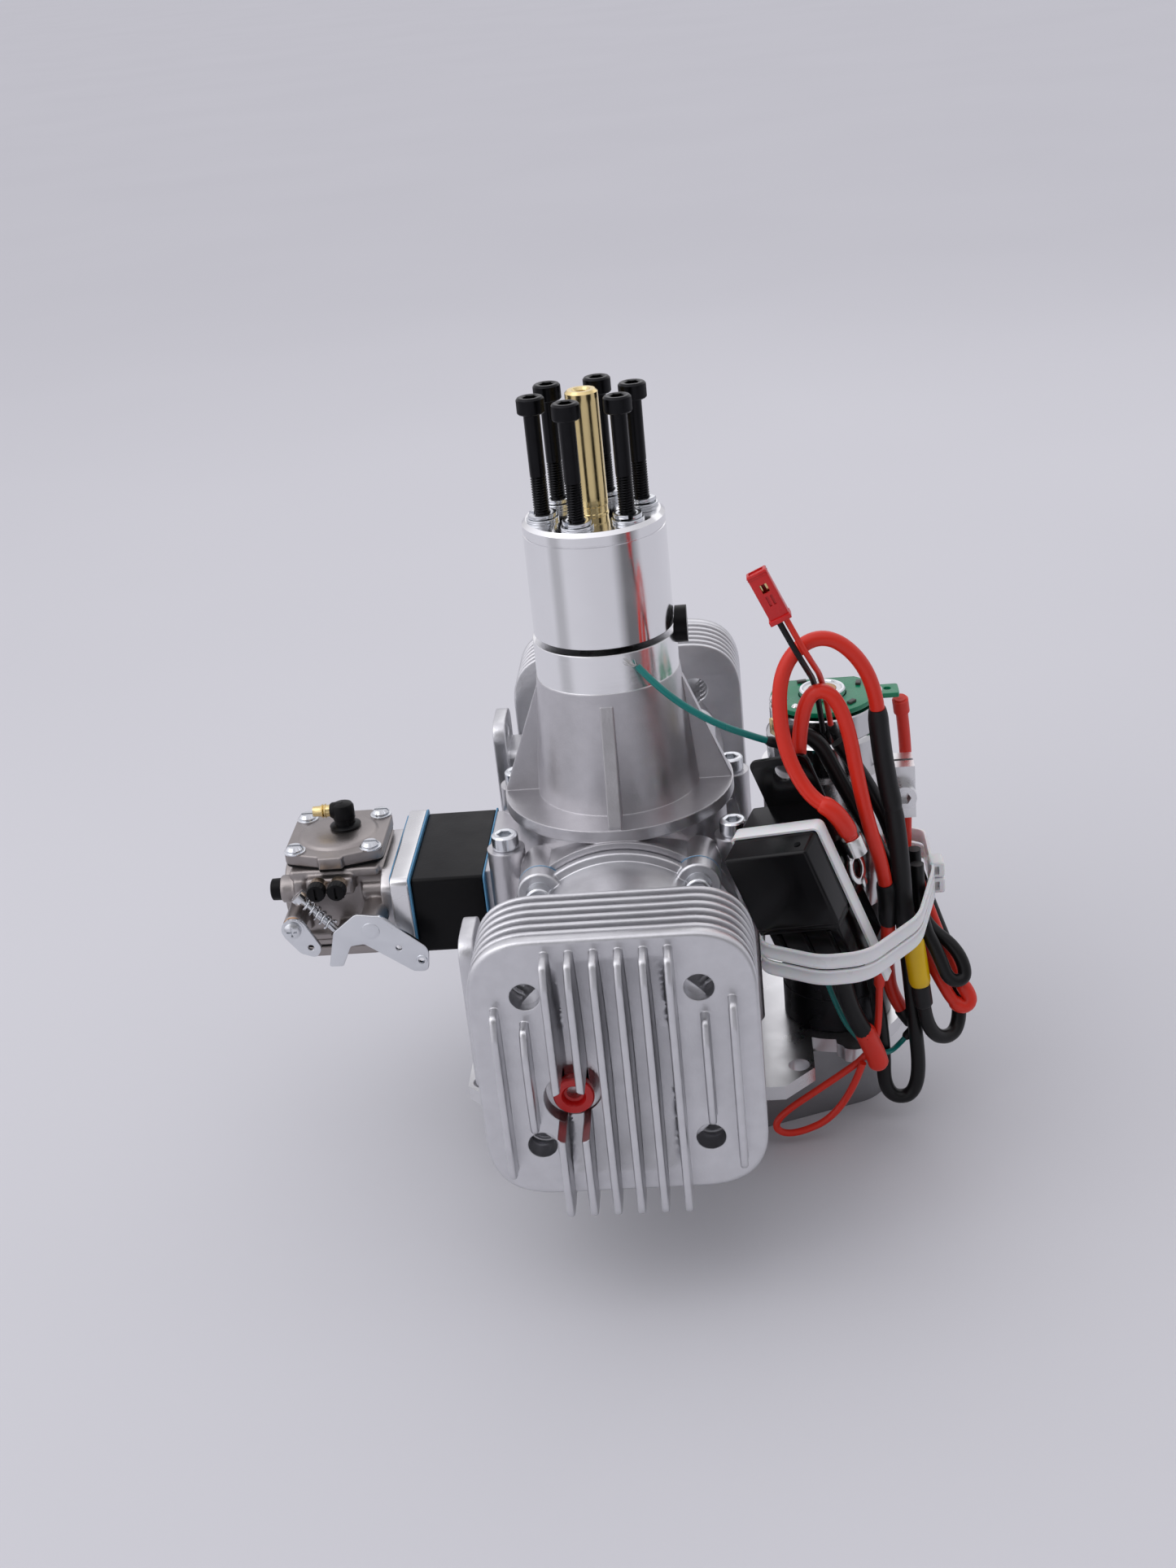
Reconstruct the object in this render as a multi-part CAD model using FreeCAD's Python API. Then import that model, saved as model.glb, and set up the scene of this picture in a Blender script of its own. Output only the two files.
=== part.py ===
import FreeCAD
import Part
import math
import os
from FreeCAD import Vector

# Opposed twin two-stroke engine with electric start, crank axis along +Z.
# The origin is on the crank axis, on the rear face of the mounting plate. All sizes are in millimetres.

# ---- Cylinders and crank train ----
AXIS_A = 55.0            # height of cylinder A's axis above the mounting face
THROW_PITCH = 15.0       # step along the crank between the two throws
AXIS_B = AXIS_A + THROW_PITCH
THROW = 15.5             # half of the stroke
BORE_R = 24.75
PISTON_R = 24.70
ROD_LENGTH = 58.0
ROD_WIDTH = 8.0
WEB_THICK = 8.0
WEB_R = 26.0
WEB_GAP = 0.3            # axial play between a con rod and the web beside it
CRANKPIN_R = 6.0
WRIST_PIN_R = 5.0
SEAT = 38.0              # distance of the cylinder seats from the crank axis
GASKET = 0.5
BARREL_R = 33.5
FIN_START = 77.0
FIN_COUNT = 6
FIN_PITCH = 4.3
FIN_THICK = 1.8
HEAD_INNER = 101.0       # inner face of the head plate
HEAD_FACE = 105.0        # outer face of the head plate
HEAD_FIN_TIP = 115.0
HEAD_HALF_X = 41.0
HEAD_HALF_Z = 42.5
HEAD_CORNER = 19.0
HEAD_FIN_PITCH = 6.9
HEAD_FIN_FIRST = -17.7
HEAD_FIN_COUNT = 6
HOLD_DOWN_X = 24.5       # the four cylinder screws, reached through the fins
HOLD_DOWN_Z = 25.0
ACCESS_R = 4.3
SCREW_HEAD_R = 4.25      # M5 socket cap screw
SCREW_HEAD_H = 5.0
SCREW_R = 2.5
PLUG_X = -14.0
PLUG_Z = -9.5
PLUG_R = 5.0

# ---- Crankcase ----
CHAMBER_R = 28.0
CASE_SPLIT = 49.0
DRUM_R = 34.0
DRUM_BOTTOM = 13.0
FLANGE_R = 37.0
FLANGE_TOP = 96.5
FLANGE_THICK = 4.0
CONE_BASE_R = 26.0
NOSE_R = 22.6
CONE_TOP = 136.0
NOSE_TOP = 148.5
GUSSET_THICK = 4.0
LUG_X = 36.0
LUG_Y = 24.0
LUG_R = 6.0
LUG_TOP = 87.0
SEAT_R = 38.0
BEARING_W = 12.0
BEARING_OUT_R = 21.0
SHAFT_R = 10.0
NOSE_BEARING_OUT_R = 17.5
NOSE_BEARING_W = 10.0
NOSE_SHAFT_R = 8.5
RUNNING = 0.03           # radial clearance of a shaft in its bearing

# ---- Propeller hub ----
HUB_R = 22.0
HUB_BOTTOM = 150.0
HUB_TOP = 187.0
HUB_SEAT_R = 7.5
BOLT_CIRCLE_R = 15.6
BOLT_PHASE = 15.5
BOLT_TOP = 225.0
STUD_R = 5.0
STUD_THREAD_R = 2.1

# ---- Intake and carburettor ----
INTAKE_Z = 64.5
BOSS_X = -44.0
INTAKE_GASKET = 0.5
INSULATOR_DEPTH = 23.5
ADAPTER_DEPTH = 6.0
CARB_FLANGE = 4.0
VENTURI_R = 10.0
CARB_LEFT = -113.0
CARB_TOP = 79.0
CARB_BOTTOM = 53.0
CARB_HALF_Y = 17.0
THROTTLE_X = -81.5
CHOKE_X = -107.5
THROTTLE_LEVER_Y = -32.0
CHOKE_LEVER_Y = -28.0
LEVER_THICK = 1.5
NEEDLE_Z = 76.0
NEEDLE_XS = {"high_needle": -92.0, "low_needle": -98.6}

# ---- Starter ----
GEAR_MODULE = 1.0
STARTER_TEETH = 58
IDLER_TEETH = 28
PINION_TEETH = 20
GEAR_LINE = math.degrees(math.atan2(4.0, 67.0))   # direction from the crank to the motor
PRESSURE_ANGLE = math.radians(20.0)
ADDENDUM = 0.9
DEDENDUM = 1.25
BACKLASH = 0.14          # taken off each tooth at the pitch circle
GEAR_LOW = -15.0
GEAR_HIGH = -5.0
CASE_BOTTOM = -25.0
CASE_WALL = 2.5
PLATE_THICK = 5.0
PLATE_HALF_X = 57.0
PLATE_HALF_Y = 44.0
PLATE_HOLE_X = 52.0
PLATE_HOLE_Y = 32.0
PLATE_HOLE_R = 3.5
STUB_R = 7.0
MOTOR_R = 18.5
MOTOR_GEARBOX_R = 18.0
MOTOR_CAN_LOW = 50.0
MOTOR_CAN_HIGH = 110.0
MOTOR_SHAFT_R = 4.0

SENSOR_R = 5.8
SENSOR_DEPTH = 3.4

# ---- Relay, ties and leads ----
RELAY_TOP = (49.7, -43.5, 97.1)
RELAY_YAW = -24.8
RELAY_LEAN = -15.3
RELAY_TIP = 11.8
RELAY_W = 28.0
RELAY_D = 27.5
RELAY_H = 28.0
SOCKET_H = 22.0
SOCKET_INSET = 2.0

CRANK_AXIS = Vector(0, 0, 1)


# ---------- Shape helpers ----------

def rod(radius, length, base, axis=(0, 0, 1)):
    return Part.makeCylinder(radius, length, Vector(*base), Vector(*axis))


def tube(outer, inner, length, base, axis=(0, 0, 1)):
    return rod(outer, length, base, axis).cut(rod(inner, length, base, axis))


def block(x, y, z):
    return Part.makeBox(x[1] - x[0], y[1] - y[0], z[1] - z[0], Vector(x[0], y[0], z[0]))


def fused(shapes):
    return shapes[0].multiFuse(shapes[1:]).removeSplitter()


def prism(points, direction):
    corners = [Vector(*point) for point in points]
    face = Part.Face(Part.makePolygon(corners + corners[:1]))
    return face.extrude(Vector(*direction))


def prism_xz(points, y_low, y_high):
    return prism([(x, y_low, z) for x, z in points], (0, y_high - y_low, 0))


def revolved(profile):
    corners = [Vector(radius, 0, z) for radius, z in profile]
    face = Part.Face(Part.makePolygon(corners + corners[:1]))
    return face.revolve(Vector(0, 0, 0), CRANK_AXIS, 360)


def rounded(shape, radius, axis):
    """The shape with the edges along one axis rounded."""
    edges = []
    for edge in shape.Edges:
        run = edge.Vertexes[-1].Point.sub(edge.Vertexes[0].Point)
        if run.Length > 0 and abs(run.normalize().dot(Vector(*axis))) > 0.999:
            edges.append(edge)
    return shape.makeFillet(radius, edges)


def hexagon(across_flats, depth, base, axis):
    radius = across_flats / math.sqrt(3.0)
    corners = []
    for index in range(6):
        angle = math.radians(60 * index)
        corners.append(Vector(radius * math.cos(angle), radius * math.sin(angle), 0))
    face = Part.Face(Part.makePolygon(corners + corners[:1]))
    solid = face.extrude(Vector(0, 0, depth))
    solid.Placement = FreeCAD.Placement(Vector(*base), FreeCAD.Rotation(CRANK_AXIS, Vector(*axis)))
    return solid


def cap_screw(base, axis, length, head_r=SCREW_HEAD_R, head_h=SCREW_HEAD_H, shank_r=SCREW_R):
    """A socket cap screw: base is the underside of the head, axis points out of the head."""
    way = Vector(*axis)
    back = way * -1
    head = rod(head_r, head_h, base, axis)
    shank = Part.makeCylinder(shank_r, length, Vector(*base), back)
    socket_base = Vector(*base) + way * (head_h * 0.4)
    socket = hexagon(head_r * 0.94, head_h, tuple(socket_base), axis)
    return head.fuse(shank).cut(socket)


def to_side_b(shape):
    """Turn a piece of cylinder A half a turn about X and step it to cylinder B."""
    turned = shape.copy()
    turned.rotate(Vector(0, 0, AXIS_A), Vector(1, 0, 0), 180)
    turned.translate(Vector(0, 0, THROW_PITCH))
    return turned


def save(name, shape):
    shape.exportStep(f"parts/{name}.step")


# ---------- Crank train ----------

def throw_levels():
    """Heights of the web faces, from the rear web's rear face to the front web's front face."""
    half = ROD_WIDTH / 2 + WEB_GAP
    rear_face = AXIS_A - half
    front_face = AXIS_B + half
    return rear_face - WEB_THICK, rear_face, AXIS_A + half, AXIS_B - half, front_face, front_face + WEB_THICK


REAR_OUT, REAR_IN, MID_LOW, MID_HIGH, FRONT_IN, FRONT_OUT = throw_levels()
CHAMBER_LOW = REAR_OUT - 1.0
CHAMBER_HIGH = FRONT_OUT + 1.0


def crank_web(low, high, pin_side):
    """A round web, lightened beside its crankpin."""
    web = rod(WEB_R, high - low, (0, 0, low))
    web = web.makeChamfer(0.8, web.Edges[0:1])
    for side in (-1, 1):
        pocket = rod(5.0, high - low, (side * 14.0, pin_side * 14.0, low))
        web = web.cut(pocket)
    return web


def crankshaft_front():
    web = crank_web(FRONT_IN, FRONT_OUT, 1)
    journal = rod(SHAFT_R, CONE_TOP - FRONT_OUT - 1, (0, 0, FRONT_OUT))
    nose = rod(NOSE_SHAFT_R, HUB_BOTTOM - CONE_TOP + 1, (0, 0, CONE_TOP - 1))
    seat = rod(HUB_SEAT_R, 28.0, (0, 0, HUB_BOTTOM))
    return fused([web, journal, nose, seat])


def crankshaft_rear():
    """The centre web and the rear web with its stub, two pieces of the built-up crank."""
    rear = crank_web(REAR_OUT, REAR_IN, -1)
    journal = rod(SHAFT_R, REAR_OUT - PLATE_THICK, (0, 0, PLATE_THICK))
    stub = rod(STUB_R, PLATE_THICK - GEAR_LOW + 2, (0, 0, GEAR_LOW - 2))
    centre = rod(WEB_R, MID_HIGH - MID_LOW, (0, 0, MID_LOW))
    return Part.makeCompound([fused([rear, journal, stub]), centre])


def con_rod_a():
    pin_y = -THROW
    wrist_y = -(THROW + ROD_LENGTH)
    low = AXIS_A - ROD_WIDTH / 2
    big = rod(11.0, ROD_WIDTH, (0, pin_y, low))
    small = rod(8.0, ROD_WIDTH, (0, wrist_y, low))
    shank = block((-4.5, 4.5), (wrist_y, pin_y), (AXIS_A - 2.5, AXIS_A + 2.5))
    flute_z = ((AXIS_A + 1.2, AXIS_A + 3), (AXIS_A - 3, AXIS_A - 1.2))
    flutes = [block((-2.5, 2.5), (wrist_y + 11, pin_y - 13), z) for z in flute_z]
    eyes = [rod(CRANKPIN_R, ROD_WIDTH, (0, pin_y, low)), rod(WRIST_PIN_R, ROD_WIDTH, (0, wrist_y, low))]
    return fused([big, small, shank]).cut(eyes + flutes)


def pins_a():
    """The crankpin and the wrist pin of cylinder A."""
    crankpin = rod(CRANKPIN_R, ROD_WIDTH + 2 * WEB_GAP - 0.2, (0, -THROW, AXIS_A - ROD_WIDTH / 2 - WEB_GAP + 0.1))
    wrist_y = -(THROW + ROD_LENGTH)
    wrist = tube(WRIST_PIN_R, 2.5, 40.0, (0, wrist_y, AXIS_A - 20.0))
    return Part.makeCompound([crankpin, wrist])


PISTON_CROWN = THROW + ROD_LENGTH + 15.0
PISTON_SKIRT = PISTON_CROWN - 29.0
RING_Y = PISTON_CROWN - 3.7
RING_H = 1.2


def piston_a():
    wrist_y = -(THROW + ROD_LENGTH)
    body = rod(PISTON_R, 29.0, (0, -PISTON_CROWN, AXIS_A), (0, 1, 0))
    hollow = rod(21.5, 24.5, (0, -(PISTON_CROWN - 4.5), AXIS_A), (0, 1, 0))
    bosses = []
    for low in (AXIS_A - 22.5, AXIS_A + 4.5):
        bosses.append(rod(8.0, 18.0, (0, wrist_y, low)).common(body))
    groove = tube(PISTON_R + 1, 22.8, RING_H, (0, -(RING_Y + RING_H / 2), AXIS_A), (0, 1, 0))
    eye = rod(WRIST_PIN_R, 44.0, (0, wrist_y, AXIS_A - 22.0))
    shell = fused([body.cut(hollow)] + bosses).cut([groove, eye])
    ring = tube(PISTON_R + 0.03, 22.8, RING_H, (0, -(RING_Y + RING_H / 2), AXIS_A), (0, 1, 0))
    gap = block((-0.3, 0.3), (-RING_Y - 2, -RING_Y + 2), (AXIS_A + 20, AXIS_A + 26))
    return Part.makeCompound([shell, ring.cut(gap)])


def crank_bearings():
    """Ball bearings as closed units: nose, front main and rear main."""
    units = []
    for low, width, outer, inner in (
        (CONE_TOP, NOSE_BEARING_W, NOSE_BEARING_OUT_R, NOSE_SHAFT_R),
        (CHAMBER_HIGH, BEARING_W, BEARING_OUT_R, SHAFT_R),
        (CHAMBER_LOW - BEARING_W, BEARING_W, BEARING_OUT_R, SHAFT_R),
    ):
        unit = tube(outer, inner + RUNNING, width, (0, 0, low))
        middle = (outer + inner) / 2
        recess = tube(middle + 1.8, middle - 1.8, 0.8, (0, 0, low + width - 0.8))
        units.append(unit.cut(recess))
    return Part.makeCompound(units)


# ---------- Cylinders ----------

def centred_plate(half_x, half_z, corner, near, far):
    """A rounded plate square to cylinder A's axis, from near to far out along -Y."""
    plate = block((-half_x, half_x), (-far, -near), (AXIS_A - half_z, AXIS_A + half_z))
    return rounded(plate, corner, (0, 1, 0))


def head_fin(x, low, high, half):
    """One upright fin on the head, with sloped and rounded ends."""
    tip = HEAD_FIN_TIP
    profile = [
        (-HEAD_INNER, low + 1.5), (-HEAD_FACE + 0.5, low), (-tip + 4.5, low), (-tip + 1.2, low + 1.6),
        (-tip, low + 4.5), (-tip, high - 5.0), (-tip + 1.2, high - 2.0), (-tip + 4.0, high), (-HEAD_INNER, high),
    ]
    points = [(x - half, y, AXIS_A + z) for y, z in profile]
    return prism(points, (2 * half, 0, 0))


def hold_down_points():
    return [(sx * HOLD_DOWN_X, AXIS_A + sz * HOLD_DOWN_Z) for sx in (-1, 1) for sz in (-1, 1)]


def head_fins():
    fins = []
    for index in range(HEAD_FIN_COUNT):
        fins.append(head_fin(HEAD_FIN_FIRST + HEAD_FIN_PITCH * index, -45.0, 38.5, 1.1))
    for side in (-1, 1):
        fins.append(head_fin(side * 33.5, -33.0, 21.0, 1.1))
        fins.append(head_fin(side * 25.5, -16.5, 16.5, 1.1))
    return fins


def head_valleys():
    """Curved valleys milled between the head fins, deepest at the middle."""
    depth = 6.0
    reach = 36.0
    radius = (reach ** 2 + depth ** 2) / (2 * depth)
    centre_y = -(HEAD_FACE - depth + radius)
    sweep = rod(radius, 60.0, (-30.0, centre_y, AXIS_A), (1, 0, 0))
    valleys = []
    for index in range(HEAD_FIN_COUNT - 1):
        left = HEAD_FIN_FIRST + HEAD_FIN_PITCH * index + 1.4
        slot = block((left, left + HEAD_FIN_PITCH - 2.8), (-HEAD_FACE - 1, -90), (AXIS_A - 40, AXIS_A + 40))
        valleys.append(slot.common(sweep))
    return valleys


def cylinder_a():
    """Cylinder A with its head, cast in one piece, axis along -Y."""
    out = (0, -1, 0)
    spigot = rod(27.0, SEAT - 31.0 + 2, (0, -31.0, AXIS_A), out)
    barrel = rod(BARREL_R, HEAD_FACE - SEAT - GASKET, (0, -(SEAT + GASKET), AXIS_A), out)
    ears = [rod(7.0, 5.5, (x, -(SEAT + GASKET), z), out) for x, z in hold_down_points()]
    solids = [spigot, barrel] + ears
    for index in range(FIN_COUNT):
        near = FIN_START + FIN_PITCH * index
        solids.append(centred_plate(HEAD_HALF_X, HEAD_HALF_Z, HEAD_CORNER, near, near + FIN_THICK))
    solids.append(centred_plate(HEAD_HALF_X, HEAD_HALF_Z, HEAD_CORNER, HEAD_INNER, HEAD_FACE))
    solids += head_fins()
    solids.append(block((-43.0, -20.0), (-73.0, -55.0), (AXIS_A - 15.0, AXIS_A + 15.0)))
    flange = block((-47.0, -42.5), (-75.0, -53.0), (AXIS_A - 26.0, AXIS_A + 26.0))
    solids.append(rounded(flange, 7.0, (1, 0, 0)))
    bore = rod(BORE_R, PISTON_CROWN + 1.0 - 30.0, (0, -30.0, AXIS_A), out)
    dome = Part.makeCone(BORE_R - 4.0, 9.0, 6.0, Vector(0, -(PISTON_CROWN + 0.9), AXIS_A), Vector(*out))
    exhaust = block((-48.0, -18.0), (-70.0, -58.0), (AXIS_A - 11.0, AXIS_A + 11.0))
    cuts = [bore, dome, exhaust]
    for x, z in hold_down_points():
        cuts.append(rod(SCREW_R, 8.0, (x, -SEAT, z), out))
        cuts.append(rod(5.2, FIN_START - SEAT - GASKET - 5.5, (x, -(SEAT + GASKET + 5.5), z), out))
        cuts.append(rod(ACCESS_R, HEAD_FIN_TIP + 1 - FIN_START, (x, -FIN_START, z), out))
    for side in (-1, 1):
        cuts.append(rod(2.1, 7.0, (-48.0, -64.0, AXIS_A + side * 19.5), (1, 0, 0)))
        transfer = block((-9.0, 9.0), (-66.0, -44.0), (AXIS_A + side * 26.0 - 3.0, AXIS_A + side * 26.0 + 3.0))
        cuts.append(transfer)
    cuts.append(rod(8.2, 20.0, (PLUG_X, -99.0, AXIS_A + PLUG_Z), out))
    cuts.append(rod(PLUG_R, 20.0, (PLUG_X, -90.0, AXIS_A + PLUG_Z), out))
    return fused(solids).cut(cuts + head_valleys())


def base_gaskets():
    sheet = rod(SEAT_R - 3.5, GASKET, (0, -SEAT, AXIS_A), (0, -1, 0))
    ears = [rod(7.0, GASKET, (x, -SEAT, z), (0, -1, 0)) for x, z in hold_down_points()]
    holes = [rod(SCREW_R, GASKET, (x, -SEAT, z), (0, -1, 0)) for x, z in hold_down_points()]
    gasket = fused([sheet] + ears).cut(holes + [rod(27.0, GASKET, (0, -SEAT, AXIS_A), (0, -1, 0))])
    return Part.makeCompound([gasket, to_side_b(gasket)])


def cylinder_screws():
    screws = []
    for x, z in hold_down_points():
        screw = cap_screw((x, -(SEAT + GASKET + 5.5), z), (0, -1, 0), 16.0)
        screws += [screw, to_side_b(screw)]
    return Part.makeCompound(screws)


def plug_caps():
    """Transport caps pressed into the two spark plug holes."""
    flange = rod(6.0, 2.6, (PLUG_X, -101.5, AXIS_A + PLUG_Z), (0, -1, 0))
    body = rod(PLUG_R, 4.5, (PLUG_X, -97.0, AXIS_A + PLUG_Z), (0, -1, 0))
    hole = rod(2.2, 6.0, (PLUG_X, -98.5, AXIS_A + PLUG_Z), (0, -1, 0))
    cap = flange.fuse(body).cut(hole)
    return Part.makeCompound([cap, to_side_b(cap)])


# ---------- Crankcase ----------

def lug_points():
    return [(sx * LUG_X, sy * LUG_Y) for sx in (-1, 1) for sy in (-1, 1)]


def gusset(turn):
    corners = [(20.0, CONE_TOP - 4.0), (23.2, CONE_TOP - 4.0), (FLANGE_R - 0.6, FLANGE_TOP + 1.0),
               (FLANGE_R - 0.6, FLANGE_TOP - 2.0), (20.0, FLANGE_TOP - 2.0)]
    rib = prism_xz(corners, -GUSSET_THICK / 2, GUSSET_THICK / 2)
    rib.rotate(Vector(0, 0, 0), CRANK_AXIS, turn)
    return rib


def seat_boss(sign, axis_z):
    """The round seat that one cylinder is screwed to."""
    disc = rod(SEAT_R, 20.0, (0, sign * (SEAT - 20.0), axis_z), (0, sign, 0))
    solids = [disc]
    for sx in (-1, 1):
        for sz in (-1, 1):
            base = (sx * HOLD_DOWN_X, sign * (SEAT - 14.0), axis_z + sz * HOLD_DOWN_Z)
            solids.append(rod(7.0, 14.0, base, (0, sign, 0)))
    return fused(solids)


def crankcase_halves():
    """The crankcase, made whole and then parted at the split plane."""
    nose = revolved([
        (0, DRUM_BOTTOM), (DRUM_R, DRUM_BOTTOM), (DRUM_R, FLANGE_TOP - FLANGE_THICK),
        (FLANGE_R, FLANGE_TOP - FLANGE_THICK), (FLANGE_R, FLANGE_TOP), (CONE_BASE_R, FLANGE_TOP),
        (NOSE_R + 0.2, CONE_TOP), (NOSE_R, CONE_TOP), (NOSE_R, NOSE_TOP), (0, NOSE_TOP),
    ])
    solids = [nose, rod(30.0, DRUM_BOTTOM - PLATE_THICK, (0, 0, PLATE_THICK))]
    solids += [seat_boss(-1, AXIS_A), seat_boss(1, AXIS_B)]
    solids += [gusset(turn) for turn in (0, 90, 180, 270)]
    for x, y in lug_points():
        solids.append(rod(LUG_R, LUG_TOP - 20.0, (x, y, 20.0)))
        web = block((0, math.hypot(x, y)), (-5.0, 5.0), (24.0, LUG_TOP - 8.0))
        web.rotate(Vector(0, 0, 0), CRANK_AXIS, math.degrees(math.atan2(y, x)))
        solids.append(web)
    for sx in (-1, 1):
        for sy in (-1, 1):
            solids.append(rod(8.0, 30.0, (sx * 28.0, sy * 28.0, PLATE_THICK)))
    solids.append(block((BOSS_X, -20.0), (-22.0, 22.0), (INTAKE_Z - 13.5, INTAKE_Z + 13.5)))
    cuts = [
        rod(CHAMBER_R, CHAMBER_HIGH - CHAMBER_LOW, (0, 0, CHAMBER_LOW)),
        rod(BEARING_OUT_R, BEARING_W, (0, 0, CHAMBER_HIGH)),
        rod(BEARING_OUT_R, BEARING_W, (0, 0, CHAMBER_LOW - BEARING_W)),
        rod(12.0, NOSE_TOP, (0, 0, 0)),
        rod(NOSE_BEARING_OUT_R, NOSE_BEARING_W, (0, 0, CONE_TOP)),
        block((BOSS_X - 1, -24.0), (-17.0, 17.0), (INTAKE_Z - 8.0, INTAKE_Z + 8.0)),
        block((BOSS_X - 1, BOSS_X + 1.5), (-19.5, 19.5), (INTAKE_Z - 10.5, INTAKE_Z + 10.5)),
    ]
    for sign, axis_z in ((-1, AXIS_A), (1, AXIS_B)):
        cuts.append(rod(27.0, 9.0, (0, sign * 30.5, axis_z), (0, sign, 0)))
        cuts.append(rod(25.2, 12.0, (0, sign * 24.0, axis_z), (0, sign, 0)))
        for sx in (-1, 1):
            for sz in (-1, 1):
                base = (sx * HOLD_DOWN_X, sign * (SEAT - 10.0), axis_z + sz * HOLD_DOWN_Z)
                cuts.append(rod(SCREW_R, 10.0, base, (0, sign, 0)))
    for x, y in lug_points():
        cuts.append(rod(SCREW_R, LUG_TOP - 28.0, (x, y, 28.0)))
        cuts.append(rod(SCREW_HEAD_R + 0.6, 60.0, (x, y, LUG_TOP)))
    whole = fused(solids).cut(cuts + [head_room(x, y) for x, y in lug_points()])
    far = 200.0
    rear_space = block((-far, far), (-far, far), (-far, CASE_SPLIT))
    return whole.cut(rear_space), whole.common(rear_space)


def head_room(x, y):
    """Room for a hexagon key above a crankcase screw, where the rear seat would cover it."""
    return rod(SCREW_HEAD_R + 1.2, 60.0, (x, y, LUG_TOP))


def crankcase_screws():
    return Part.makeCompound([cap_screw((x, y, LUG_TOP), (0, 0, 1), LUG_TOP - 30.0) for x, y in lug_points()])


# ---------- Propeller hub ----------

def bolt_points():
    points = []
    for index in range(6):
        angle = math.radians(BOLT_PHASE + 60 * index)
        points.append((BOLT_CIRCLE_R * math.cos(angle), BOLT_CIRCLE_R * math.sin(angle)))
    return points


def prop_hub():
    groove_z = HUB_TOP - 4.5
    body = revolved([
        (HUB_SEAT_R, HUB_BOTTOM), (HUB_R - 0.5, HUB_BOTTOM), (HUB_R, HUB_BOTTOM + 0.5), (HUB_R, groove_z),
        (HUB_R - 0.35, groove_z + 0.2), (HUB_R - 0.35, groove_z + 0.5), (HUB_R, groove_z + 0.7),
        (HUB_R, HUB_TOP - 1.2), (HUB_R - 1.2, HUB_TOP), (STUD_R, HUB_TOP), (STUD_R, 178.0), (HUB_SEAT_R, 178.0),
    ])
    holes = [rod(SCREW_R, 12.0, (x, y, HUB_TOP - 12.0)) for x, y in bolt_points()]
    magnet_pocket = rod(2.0, 3.0, (HUB_R - 3.0, 0, HUB_BOTTOM + 2.6), (1, 0, 0))
    return body.cut(holes + [magnet_pocket])


def hub_magnet():
    return rod(2.0, 2.8, (HUB_R - 3.0, 0, HUB_BOTTOM + 2.6), (1, 0, 0))


def prop_bolts():
    seat = BOLT_TOP - SCREW_HEAD_H
    length = seat - (HUB_TOP - 11.0)
    return Part.makeCompound([cap_screw((x, y, seat), (0, 0, 1), length) for x, y in bolt_points()])


def hub_washers():
    """Under each bolt head's place: a flat washer and a split spring washer, both loose on the hub."""
    washers = []
    for x, y in bolt_points():
        washers.append(tube(5.0, 2.7, 1.0, (x, y, HUB_TOP)))
        spring = tube(4.4, 2.7, 1.3, (x, y, HUB_TOP + 1.0))
        outward = math.degrees(math.atan2(y, x))
        gap = block((2.0, 5.0), (-0.35, 0.35), (HUB_TOP + 0.9, HUB_TOP + 2.4))
        gap.rotate(Vector(0, 0, 0), CRANK_AXIS, outward + 40)
        gap.translate(Vector(x, y, 0))
        washers.append(spring.cut(gap))
    return Part.makeCompound(washers)


def prop_stud():
    stud = rod(STUD_R, BOLT_TOP - 178.0, (0, 0, 178.0))
    stud = stud.makeChamfer(0.7, [stud.Edges[0]])
    return stud.cut(rod(STUD_THREAD_R, 15.0, (0, 0, BOLT_TOP - 15.0)))


def hall_sensor():
    """The ignition pick-up: a flat round lump on the side of the nose, beside the hub's rim."""
    lump = rod(SENSOR_R, SENSOR_DEPTH + 3.0, (NOSE_R - 3.0, 0, NOSE_TOP + 0.5), (1, 0, 0))
    seat = rod(NOSE_R, NOSE_TOP, (0, 0, 0))
    rim = rod(HUB_R + 0.5, 20.0, (0, 0, NOSE_TOP - 0.4))
    return lump.cut([seat, rim])


# ---------- Intake and carburettor ----------

GASKET_XS = (BOSS_X, BOSS_X - INTAKE_GASKET - INSULATOR_DEPTH,
             BOSS_X - 2 * INTAKE_GASKET - INSULATOR_DEPTH - ADAPTER_DEPTH)
ADAPTER_X = GASKET_XS[1] - INTAKE_GASKET
CARB_X = GASKET_XS[2] - INTAKE_GASKET


def reed_valve():
    """A wedge-shaped cage with its mounting flange, held between the boss and the insulator."""
    flange = block((BOSS_X, BOSS_X + 1.5), (-19.5, 19.5), (INTAKE_Z - 10.5, INTAKE_Z + 10.5))
    wedge = prism_xz([(BOSS_X, INTAKE_Z - 7.4), (BOSS_X + 14.0, INTAKE_Z), (BOSS_X, INTAKE_Z + 7.4)], -15.0, 15.0)
    inside = prism_xz([(BOSS_X, INTAKE_Z - 5.4), (BOSS_X + 10.0, INTAKE_Z), (BOSS_X, INTAKE_Z + 5.4)], -13.0, 13.0)
    return fused([flange, wedge]).cut(inside)


def intake_slab(near, depth, half_y, half_z, corner, hole_r):
    slab = block((near - depth, near), (-half_y, half_y), (INTAKE_Z - half_z, INTAKE_Z + half_z))
    if corner:
        slab = rounded(slab, corner, (1, 0, 0))
    return slab.cut(rod(hole_r, depth, (near - depth, 0, INTAKE_Z), (1, 0, 0)))


def insulator_block():
    return intake_slab(GASKET_XS[0] - INTAKE_GASKET, INSULATOR_DEPTH, 25.0, 13.25, 1.0, 10.5)


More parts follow.
